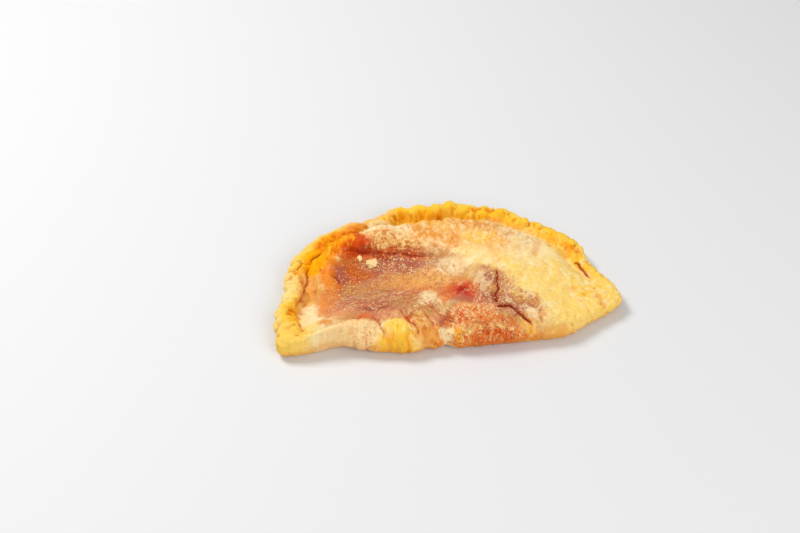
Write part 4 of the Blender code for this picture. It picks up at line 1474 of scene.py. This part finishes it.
class DoughRecipe(Recipe):
    """The crust's finish: dough in many tones, oily where the filling shows through."""

    def __init__(self, tones):
        """Start with pale dough that has straw and cream mottles."""
        super().__init__("baked dough")
        names = CrustTones.__annotations__
        self.tones = {name: (*getattr(tones, name), 1.0) for name in names}
        self.pushed = self.place()
        for push in PUSHES:
            self.pushed = self.wander(self.pushed, *push)
        broad, middling, self.fine = (self.mottle(self.pushed, *mottle)
                                      for mottle in (BROAD, MIDDLING, FINE))
        self.grain = middling * MIDDLING_SHARE + self.fine * FINE_SHARE
        self.colour = self.tones["pale"]
        self.tint("straw", broad.past(STRAW_EDGE))
        self.tint("cream", middling.past(CREAM_EDGE))

        # In plan the third coordinate is 1, so that a dot product can hold an offset.
        push = self.vectors("SCALE", {"Vector": GRAIN_PUSH, "Scale": self.grain})
        push = self.vectors("ADD", {"Vector": push, "Vector_001": (0, 0, 1)})
        sockets = {"Vector": self.pushed, "Vector_001": (1, 1, 0), "Vector_002": push}
        self.plan = self.vectors("MULTIPLY_ADD", sockets)

    def tint(self, tone_name, factor, way="MIX", label=""):
        """Lay a tone over the colour so far."""
        self.colour = self.blend(factor, self.colour, self.tones[tone_name], way, label)

    def spot(self, spot, soft, ragged, top=1.0):
        """Top inside an oval patch and 0 outside, with a soft and ragged edge."""
        turn = math.radians(spot.turn)
        squares = self.grain * (2 * ragged)
        for half_size, side_turn in zip(spot.half_size, (0, math.pi / 2)):
            axis = (math.cos(turn + side_turn) / half_size, math.sin(turn + side_turn) / half_size)
            offset = -axis[0] * spot.middle[0] - axis[1] * spot.middle[1]
            away = self.dot(self.plan, (*axis, offset))
            squares = away.maths("MULTIPLY_ADD", away, away, squares)
        return squares.rising((1 + soft) ** 2, (1 - soft) ** 2, top)

    def stain(self, stains):
        """Lay patches of other tones over the colour so far."""
        for stain in stains:
            mask = self.spot(stain, stain.soft, stain.ragged, stain.strength)
            self.tint(stain.tone, mask, label=stain.name)

    def streaked(self, freckles):
        """The place, or for streaks the place in plan, shortened along their run."""
        if freckles.stretch == 1:
            return self.pushed
        turn = math.radians(freckles.run)
        ways = ((math.cos(turn) / freckles.stretch, math.sin(turn) / freckles.stretch, 0),
                (-math.sin(turn), math.cos(turn), 0))
        return self.joined(*[self.dot(self.plan, way) for way in ways])

    def freckle(self):
        """Scatter dots and streaks of other tones over the colour so far."""
        for seed, freckles in enumerate(FRECKLES):
            mask = self.spot(freckles, FRECKLES_SOFT, FRECKLES_RAGGED, freckles.strength)
            place = self.streaked(freckles)
            dots = self.mottle(place, freckles.size, FRECKLES_DETAIL, seed)
            edge = 1 - 2 * freckles.share
            mask = mask * dots.rising(edge + FRECKLES_START, edge + FRECKLES_FULL)
            self.tint(freckles.tone, mask, label=freckles.name)

    def gild(self):
        """Lay the rim over the dough: gold, paler and lit on its crest, with painted light and
        shade on its pleats, and painted shade in its pits and groove.
        """
        rope = self.kept("rope").past(ROPE_EDGE, self.grain)
        dough, self.colour = self.colour, self.tones["gold"]
        names = ("crest", "crease", "relief", "right", "along", "inwards")
        crest, crease, form, right, along, inwards = [self.kept(name) for name in names]
        streak = self.mottle(self.joined(along * STREAK_RUN, inwards), *RIM_STREAKS)
        broad = self.mottle(self.pushed, *RIM_BROAD)
        self.tint("straw", broad.past(RIM_STRAW_EDGE))
        self.tint("gold", right * GOLD_RIGHT)
        # The crest is straw and pale: paler dough, with painted light on its top.
        self.tint("straw", crest * (self.grain * CREST_STRAW_GRAIN + CREST_STRAW))
        paler_and_lit = crest.past(CREST_PALE_AND_LIT_EDGE, self.grain)
        self.tint("pale", paler_and_lit * (1 - right * CREST_PALE_AND_LIT_RIGHT))
        # Inner flank: painted shade, deepest between the pleats, and painted light on the pleats'
        # crests.
        flank = (inwards - right * FLANK_RIGHT).past(FLANK_EDGE, self.grain)
        self.tint("amber", (streak * PLEAT_SHADE_STREAKS + flank).past(PLEAT_SHADE_EDGE) * flank)
        self.tint("straw", streak.past(PLEAT_LIGHT_EDGE) * flank)
        # Painted shade in the pits and crimp creases of the rope.
        pits = (form * PIT_RELIEF + self.grain * PIT_GRAIN + crease * PIT_CREASE).past(PIT_EDGE)
        self.tint("amber", pits * (PIT_SHADE - right * PIT_RIGHT))
        # Painted shade in the groove inside the rope.
        groove = inwards.past(GROOVE_EDGE, self.grain) * crease.past(GROOVE_CREASE_EDGE, streak)
        self.tint("rust", groove * (GROOVE_SHADE - right * GROOVE_RIGHT))
        self.colour = self.blend(rope, dough, self.colour)

    def scorch_and_shade(self):
        """Darken the foot, the folds and the hollows with browning and painted shade, and the
        finest grain at random.
        """
        form, height = self.kept("relief"), self.kept("height")
        # Darker towards the floor: browned dough, with painted shadow along the bottom edge.
        self.tint("toast", height.past(FOOT_EDGE, self.grain) * FOOT_TOAST_AND_SHADE)
        # Round the folds: painted shade beside the creases and grooves, and the dark of the tears
        # and the gash.
        seam = self.kept("seam")
        off_seam = seam.maths("ABSOLUTE", seam)
        dark = self.kept("dark")
        self.tint("rust", off_seam.past(SEAM_EDGE, self.grain) * dark * SEAM_RUST_AND_SHADE)
        # A thin dark line in each crease: painted shade, and the dark of the tears.
        broken = dark.past(LINE_BREAK_EDGE, self.mottle(self.plan, *LINE_BREAKS))
        line = (off_seam - dark * LINE_WIDENING).past(LINE_EDGE, self.fine) * broken
        self.tint("scorch_and_shade", line * LINE_SCORCH_AND_SHADE)
        # Painted shade: the hollows of the fine relief are darkened.
        hollow = (form * -1.0).past(HOLLOW_EDGE, self.fine)
        self.tint("toast", hollow * HOLLOW_PAINTED_SHADE, "MULTIPLY")
        shade = self.blend(self.fine.past(SHADE_EDGE), SHADE, WHITE)
        self.colour = self.blend(1.0, self.colour, shade, "MULTIPLY")

    def finished(self, pore_depth):
        """Feed the surface the colour, oil and bumps, and give the material."""
        oily = self.spot(OILY_PARTS[0], OILY_SOFT, OILY_RAGGED)
        oily = oily.larger(self.spot(OILY_PARTS[1], OILY_SOFT, OILY_RAGGED))
        roughness = ROUGHNESS - oily * OILY_GLOSS + self.fine * FINE_ROUGHNESS
        pores = self.mottle(self.place(), *PORES) * PORE_SHARE
        wrinkles = self.mottle(self.pushed, *SKIN_WRINKLES)
        wrinkles = wrinkles * (oily * OILY_WRINKLE_SHARE + WRINKLE_SHARE)
        normal = self.bump(pores + wrinkles, pore_depth / MM)
        return self.finish({
            "Base Color": self.colour,
            "Roughness": roughness,
            "Normal": normal,
            "Coat Weight": oily * OILY_COAT,
            **DOUGH_SURFACE,
        })


def crust_material(tones, settings):
    """The crust's material, its tones laid one over another."""
    recipe = DoughRecipe(tones)
    recipe.stain(CROWN_STAINS)
    recipe.gild()
    recipe.stain(LEFT_STAINS + DENT_STAINS + SAUCE_STAINS + FRONT_STAINS)
    recipe.freckle()
    recipe.scorch_and_shade()
    return recipe.finished(settings.pore_depth)


def make_crust(settings):
    """Make the crust's mesh, to fit the part's box."""
    mesh = cut_sheet(settings.cells, settings.rows)
    low, high = (np.array(corner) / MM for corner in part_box(PART))
    dough = Dough(read_vectors(mesh, "co"), low, high)
    write_points(mesh, dough.places)
    outwards = read_vectors(mesh, "normal")

    strayed = dough.strayed()
    folds, seam, dark = folded(*strayed)
    fine = settings.grain_depth * (grained(dough) + wrinkled(dough, *strayed)) + skinned(dough)
    fine += settings.pleat_depth * (pleated(dough) + knobbed(dough))
    push = (settings.fold_depth * folds + swell(dough.x, dough.y, KNOBS)) * dough.topness
    push = (push + fine) * ease(dough.z / FLOOR_FADE) * (dough.share < 1)
    write_points(mesh, dough.places + push[:, None] * outwards)

    past_rim = dough.inwards - 2 * dough.half_width
    past_crest = dough.inwards - dough.half_width
    right = dough.rim * ease((CREST_PALES_FROM - dough.angle) / CREST_PALES_OVER)
    rope = ease((RIM_TONE_END - past_rim) / (RIM_TONE_FADE + RIM_TONE_FADE_RIGHT * right))
    keep_values(
        mesh,
        rope=dough.rim * rope,
        crest=dough.rim * ease((CREST_PAST_MIDDLE - past_crest) / CREST_FADE),
        crease=dough.crease,
        seam=seam,
        dark=dark * dough.topness,
        along=dough.along,
        inwards=dough.inwards / dough.half_width,
        relief=fine,
        height=dough.z - fold_lift(dough.angle) + RIM_FOOT * dough.rim,
        right=right,
    )
    return mesh


def show(mesh, name, material):
    """Make a piece of a mesh, in the scene and riding on the part's body."""
    mesh.name = name
    mesh.materials.append(material)
    piece = bpy.data.objects.new(name, mesh)
    bpy.context.scene.collection.objects.link(piece)
    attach(piece, BODY)
    return piece


class PANZEROTTO_OT_bake_crust(bpy.types.Operator):
    """Make the crust, with every fold, crimp and tear, in place of the plain part"""

    bl_idname = "panzerotto.bake_crust"
    bl_label = "Bake crust"

    def execute(self, context):
        """Build the crust and give it its finish."""
        settings = context.scene.panzerotto_crust
        material = crust_material(context.scene.panzerotto_tones, settings)
        crust = show(make_crust(settings), CRUST, material)
        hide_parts(PART)
        return {"FINISHED"}


# ---------------------------------------------------------------------------------------
# Small things on the crust, in millimetres
# ---------------------------------------------------------------------------------------

# The parts where small things lie, with their shares of them.
CHEESE_PATCHES = table(
    Patch,
    ("upper dent", (-24, -1), (26, 7), -5, 0.28),
    ("dent", (-36, -14), (36, 20), 2, 0.24),
    ("lower left dent", (-58, -34), (14, 5), 4, 0.08),
    ("tear", (24, -31), (10, 13), 4, 0.16),
    ("crisp front", (12, -47), (15, 6), -4, 0.24),
)
CRUMB_PATCHES = table(
    Patch,
    ("ridge", (-26, 14), (17, 6), -8, 0.5),
    ("crisp foot", (14, -55.5), (18, 2.5), 0, 0.3),
)
CHEESE_SIZES = (0.3, 0.75)
CHEESE_SMALLNESS = 1.5
CRUMB_SIZES = (0.35, 0.85)
PEPPER_SIZES = (0.35, 0.6)
# Flakes of crust lie in the dent: place in plan, and half-width.
FLAKES = (((-41, 4.2), 3.7), ((-47.6, 6.6), 1.7))
# Specks of pepper: places in plan.
PEPPER = ((80.3, -6.5), (85.5, -17.5), (86, -31.5), (58.5, -35), (9, 2), (-71.5, 5), (-57, -43))
# How finely small things are cut, and how thick they are for their width.
SPECK_ROUNDS = 1
SPECK_FLATNESS = 0.6
FLAKE_ROUNDS = 3
FLAKE_FLATNESS = 0.14
SPECK_LENGTHS = (0.8, 1.3)
SPECK_WIDTHS = (0.7, 1.1)
SPECK_RAISE = 0.25
SPECK_LUMPINESS = 0.55
SPECK_LUMP_SIZE = 0.65
CHEESE_SEED = 5
CRUMB_SEED = 6
PEPPER_SEED = 7
FLAKE_SEED = 8
# Noise is read at random offsets up to this.
NOISE_RANGE = 50

SPECK_MOTTLES = (0.8, 2.0, 1.7)
SPECK_SHADES = Edge(0, 1, ragged=0.3)
SPECK_PORES = (0.3, 2.0, 6.6)
SPECK_PORE_DEPTH = 0.05
SPECK_ROUGHNESS = 0.5
SPECK_ROUGHNESS_MOTTLES = 0.05
SPECK_SURFACE = {
    "Specular IOR Level": 0.2,
    "Subsurface Weight": 0.2,
    "Subsurface Radius": (1.0, 0.6, 0.4),
    "Subsurface Scale": 0.0006,
}


def landed(crust, x, y):
    """Where a thing dropped on the crust comes to rest, in millimetres, and the way it faces."""
    drop = Vector((x, y, 2 * CROWN_Z)) * MM
    found, place, outwards, _ = crust.ray_cast(drop, Vector((0, 0, -1)))
    if not found:
        raise RuntimeError(f"nothing to land on at {x}, {y}")
    return np.array(place) / MM, outwards


def scattered(patches, count, draw):
    """Random places in plan, spread over patches by their shares."""
    places = []
    for patch in patches:
        for _ in range(round(patch.share * count)):
            away, way = math.sqrt(draw.uniform()), draw.uniform(0, math.tau)
            x, y = rotated(patch.half_size[0] * away * math.cos(way),
                           patch.half_size[1] * away * math.sin(way), -patch.turn)
            places.append((patch.middle[0] + x, patch.middle[1] + y))
    return places


def speck_mesh(name, places, sizes, draw, flatness, rounds):
    """Lumps of dough or cheese that lie on the crust, in one mesh."""
    crust = bpy.data.objects.get(CRUST)
    if crust is None:
        raise RuntimeError("the crust is baked first")
    bpy.context.view_layer.update()
    ball = bmesh.new()
    bmesh.ops.create_icosphere(ball, subdivisions=rounds, radius=1)
    round_points = np.array([vertex.co for vertex in ball.verts])
    corners = np.array([[vertex.index for vertex in face.verts] for face in ball.faces])
    ball.free()

    points, faces, shades = [], [], []
    for (x, y), size in zip(places, sizes):
        place, outwards = landed(crust, x, y)
        stretch = np.array([draw.uniform(*SPECK_LENGTHS), draw.uniform(*SPECK_WIDTHS), flatness])
        offset = draw.uniform(0, NOISE_RANGE, 3)
        rough = 1 + SPECK_LUMPINESS * fractal(round_points, SPECK_LUMP_SIZE, offset)
        spin = Matrix.Rotation(draw.uniform(0, math.tau), 3, "Z")
        upright = outwards.to_track_quat("Z", "Y").to_matrix() @ spin
        lump = (round_points * rough[:, None] * stretch) @ np.array(upright).T * size
        lump += place + np.array(outwards) * size * flatness * SPECK_RAISE
        faces.append(corners + len(points) * len(round_points))
        points.append(lump)
        shades.append(np.full(len(round_points), draw.uniform()))
    mesh = bpy.data.meshes.new(name)
    mesh.from_pydata(np.concatenate(points) * MM, [], np.concatenate(faces).tolist())
    mesh.shade_smooth()
    keep_values(mesh, shade=np.concatenate(shades))
    return mesh


def speck_material(name, light_tone, dark_tone):
    """The finish of small things: each in a tone of its own between two."""
    recipe = Recipe(name)
    place = recipe.place()
    mottle = recipe.mottle(place, *SPECK_MOTTLES)
    shade = recipe.kept("shade").past(SPECK_SHADES, mottle)
    colour = recipe.blend(shade, (*light_tone, 1.0), (*dark_tone, 1.0))
    pores = recipe.mottle(place, *SPECK_PORES)
    return recipe.finish({
        "Base Color": colour,
        "Roughness": SPECK_ROUGHNESS + mottle * SPECK_ROUGHNESS_MOTTLES,
        "Normal": recipe.bump(pores, SPECK_PORE_DEPTH),
        **SPECK_SURFACE,
    })


def drop_specks(name, places, sizes, draw, material,
                flatness=SPECK_FLATNESS, rounds=SPECK_ROUNDS):
    """Drop small things on the crust as one piece."""
    show(speck_mesh(name, places, sizes, draw, flatness, rounds), name, material)


class PANZEROTTO_OT_scatter_cheese(bpy.types.Operator):
    """Scatter pale specks of cheese and flour where the filling shows through"""

    bl_idname = "panzerotto.scatter_cheese"
    bl_label = "Scatter cheese"

    def execute(self, context):
        """Drop the specks on the crust."""
        settings = context.scene.panzerotto_bits
        draw = np.random.default_rng(CHEESE_SEED)
        places = scattered(CHEESE_PATCHES, settings.cheese_count, draw)
        sizes = draw.uniform(*CHEESE_SIZES, len(places)) ** CHEESE_SMALLNESS
        material = speck_material("cheese", settings.cheese_tone, settings.melted_tone)
        drop_specks("cheese_specks", places, sizes, draw, material)
        return {"FINISHED"}


class PANZEROTTO_OT_scatter_crumbs(bpy.types.Operator):
    """Scatter toasted crumbs over the ridge and the crisp front"""

    bl_idname = "panzerotto.scatter_crumbs"
    bl_label = "Scatter crumbs"

    def execute(self, context):
        """Drop the crumbs on the crust."""
        settings = context.scene.panzerotto_bits
        draw = np.random.default_rng(CRUMB_SEED)
        places = scattered(CRUMB_PATCHES, settings.crumb_count, draw)
        sizes = draw.uniform(*CRUMB_SIZES, len(places))
        material = speck_material("crumbs", settings.crumb_tone, settings.melted_tone)
        drop_specks("toasted_crumbs", places, sizes, draw, material)
        return {"FINISHED"}


class PANZEROTTO_OT_grind_pepper(bpy.types.Operator):
    """Drop a few dark specks of pepper"""

    bl_idname = "panzerotto.grind_pepper"
    bl_label = "Grind pepper"

    def execute(self, context):
        """Drop the pepper on the crust."""
        settings = context.scene.panzerotto_bits
        draw = np.random.default_rng(PEPPER_SEED)
        sizes = draw.uniform(*PEPPER_SIZES, len(PEPPER))
        material = speck_material("pepper", settings.pepper_tone, settings.crumb_tone)
        drop_specks("pepper_specks", PEPPER, sizes, draw, material)
        return {"FINISHED"}


class PANZEROTTO_OT_lay_flakes(bpy.types.Operator):
    """Lay the pale flakes of crust in the dent"""

    bl_idname = "panzerotto.lay_flakes"
    bl_label = "Lay flakes"

    def execute(self, context):
        """Drop the flakes on the crust."""
        settings = context.scene.panzerotto_bits
        draw = np.random.default_rng(FLAKE_SEED)
        places, sizes = zip(*FLAKES)
        material = speck_material("flakes", settings.flake_tone, settings.melted_tone)
        drop_specks("crust_flakes", places, sizes, draw, material, FLAKE_FLATNESS, FLAKE_ROUNDS)
        return {"FINISHED"}


# ---------------------------------------------------------------------------------------
# The stage, in metres
# ---------------------------------------------------------------------------------------

FLOOR_RADIUS = 8
FLOOR_SIDES = 96
FLOOR_DROP = -0.0002
FLOOR_CLOUDS = (60, 2.0, 0.5)
FLOOR_CLOUD_EDGE = Edge(-1, 1)
FLOOR_CLOUD_STRENGTH = 0.03
FLOOR_CLOUD_TONE = (0.7, 0.72, 0.75, 1)
FLOOR_ROUGHNESS = 0.6
# Each light's name, place and width.
KEY_LIGHT = ("key light", (-0.6, 0.5, 1.0), 0.5)
FILL_LIGHT = ("fill light", (0.45, -1.0, 0.7), 0.9)
CAMERA_PLACE = (-0.10857, -0.5979, 0.558)
CAMERA_TURN = (48, 0, -8)
CAMERA_SENSOR = 36


def area_light(name, place, width, power):
    """Set a large soft light that faces the turnover."""
    data = bpy.data.lights.new(name, "AREA")
    data.shape = "DISK"
    data.size = width
    data.energy = power
    light = bpy.data.objects.new(name, data)
    light.location = place
    light.rotation_euler = Vector(place).to_track_quat("Z", "Y").to_euler()
    bpy.context.scene.collection.objects.link(light)


def floor_material(floor_tone):
    """The floor's finish: plain and matt."""
    recipe = Recipe("pale floor")
    clouds = recipe.mottle(recipe.place(), *FLOOR_CLOUDS)
    factor = clouds.past(FLOOR_CLOUD_EDGE) * FLOOR_CLOUD_STRENGTH
    colour = recipe.blend(factor, (*floor_tone, 1.0), FLOOR_CLOUD_TONE)
    return recipe.finish({"Base Color": colour, "Roughness": FLOOR_ROUGHNESS})


def lay_floor(material):
    """Lay the floor that the turnover is shown on."""
    disc = bmesh.new()
    bmesh.ops.create_circle(disc, cap_ends=True, segments=FLOOR_SIDES, radius=FLOOR_RADIUS)
    mesh = bpy.data.meshes.new("floor")
    disc.to_mesh(mesh)
    disc.free()
    mesh.materials.append(material)
    floor = bpy.data.objects.new("floor", mesh)
    floor.location.z = FLOOR_DROP
    bpy.context.scene.collection.objects.link(floor)


class PANZEROTTO_OT_set_stage(bpy.types.Operator):
    """Lay the floor and set the light and the camera"""

    bl_idname = "panzerotto.set_stage"
    bl_label = "Set stage"

    def execute(self, context):
        """Make the floor, the lights, the sky and the camera."""
        scene = context.scene
        settings = scene.panzerotto_stage
        lay_floor(floor_material(settings.floor_tone))
        area_light(*KEY_LIGHT, settings.key_power)
        area_light(*FILL_LIGHT, settings.fill_power)

        sky = bpy.data.worlds.new("sky")
        sky.use_nodes = True
        background = sky.node_tree.nodes["Background"]
        background.inputs["Color"].default_value = WHITE
        background.inputs["Strength"].default_value = settings.sky
        scene.world = sky
        scene.view_settings.view_transform = "Standard"

        data = bpy.data.cameras.new("camera")
        data.lens = settings.lens
        data.sensor_width = CAMERA_SENSOR
        camera = bpy.data.objects.new("camera", data)
        camera.location = CAMERA_PLACE
        camera.rotation_euler = [math.radians(turn) for turn in CAMERA_TURN]
        scene.collection.objects.link(camera)
        scene.camera = camera
        return {"FINISHED"}


# ---------------------------------------------------------------------------------------
# The add-on
# ---------------------------------------------------------------------------------------


class PANZEROTTO_PT_panel(bpy.types.Panel):
    """Lists the pieces of the panzerotto and its stage"""

    bl_idname = "PANZEROTTO_PT_panel"
    bl_label = "Panzerotto"
    bl_space_type = "VIEW_3D"
    bl_region_type = "UI"
    bl_category = "Panzerotto"

    def draw(self, context):
        """Show each group of settings over its operators."""
        for name, (_, operators) in GROUPS.items():
            box = self.layout.box()
            settings = getattr(context.scene, name)
            for field in type(settings).__annotations__:
                box.prop(settings, field)
            for operator in operators:
                box.operator(operator.bl_idname)


# Each group of settings, under its name on the scene, with the operators that use it.
GROUPS = {
    "panzerotto_tones": (CrustTones, ()),
    "panzerotto_crust": (CrustSettings, (PANZEROTTO_OT_bake_crust,)),
    "panzerotto_bits": (BitSettings, (
        PANZEROTTO_OT_scatter_cheese,
        PANZEROTTO_OT_scatter_crumbs,
        PANZEROTTO_OT_grind_pepper,
        PANZEROTTO_OT_lay_flakes,
    )),
    "panzerotto_stage": (StageSettings, (PANZEROTTO_OT_set_stage,)),
}


def classes():
    """List the add-on's classes, with each group of settings before its operators."""
    groups = [[settings, *operators] for settings, operators in GROUPS.values()]
    return [*sum(groups, []), PANZEROTTO_PT_panel]


def register():
    """Add the classes and the settings."""
    for made in classes():
        bpy.utils.register_class(made)
    for name, (settings, _) in GROUPS.items():
        setattr(bpy.types.Scene, name, PointerProperty(type=settings))


def unregister():
    """Take the settings and the classes away."""
    for name in GROUPS:
        delattr(bpy.types.Scene, name)
    for made in reversed(classes()):
        bpy.utils.unregister_class(made)


def main():
    """Register the add-on and make every piece."""
    register()
    bpy.ops.panzerotto.bake_crust()
    bpy.ops.panzerotto.scatter_cheese()
    bpy.ops.panzerotto.scatter_crumbs()
    bpy.ops.panzerotto.grind_pepper()
    bpy.ops.panzerotto.lay_flakes()
    bpy.ops.panzerotto.set_stage()


if __name__ == "__main__":
    main()
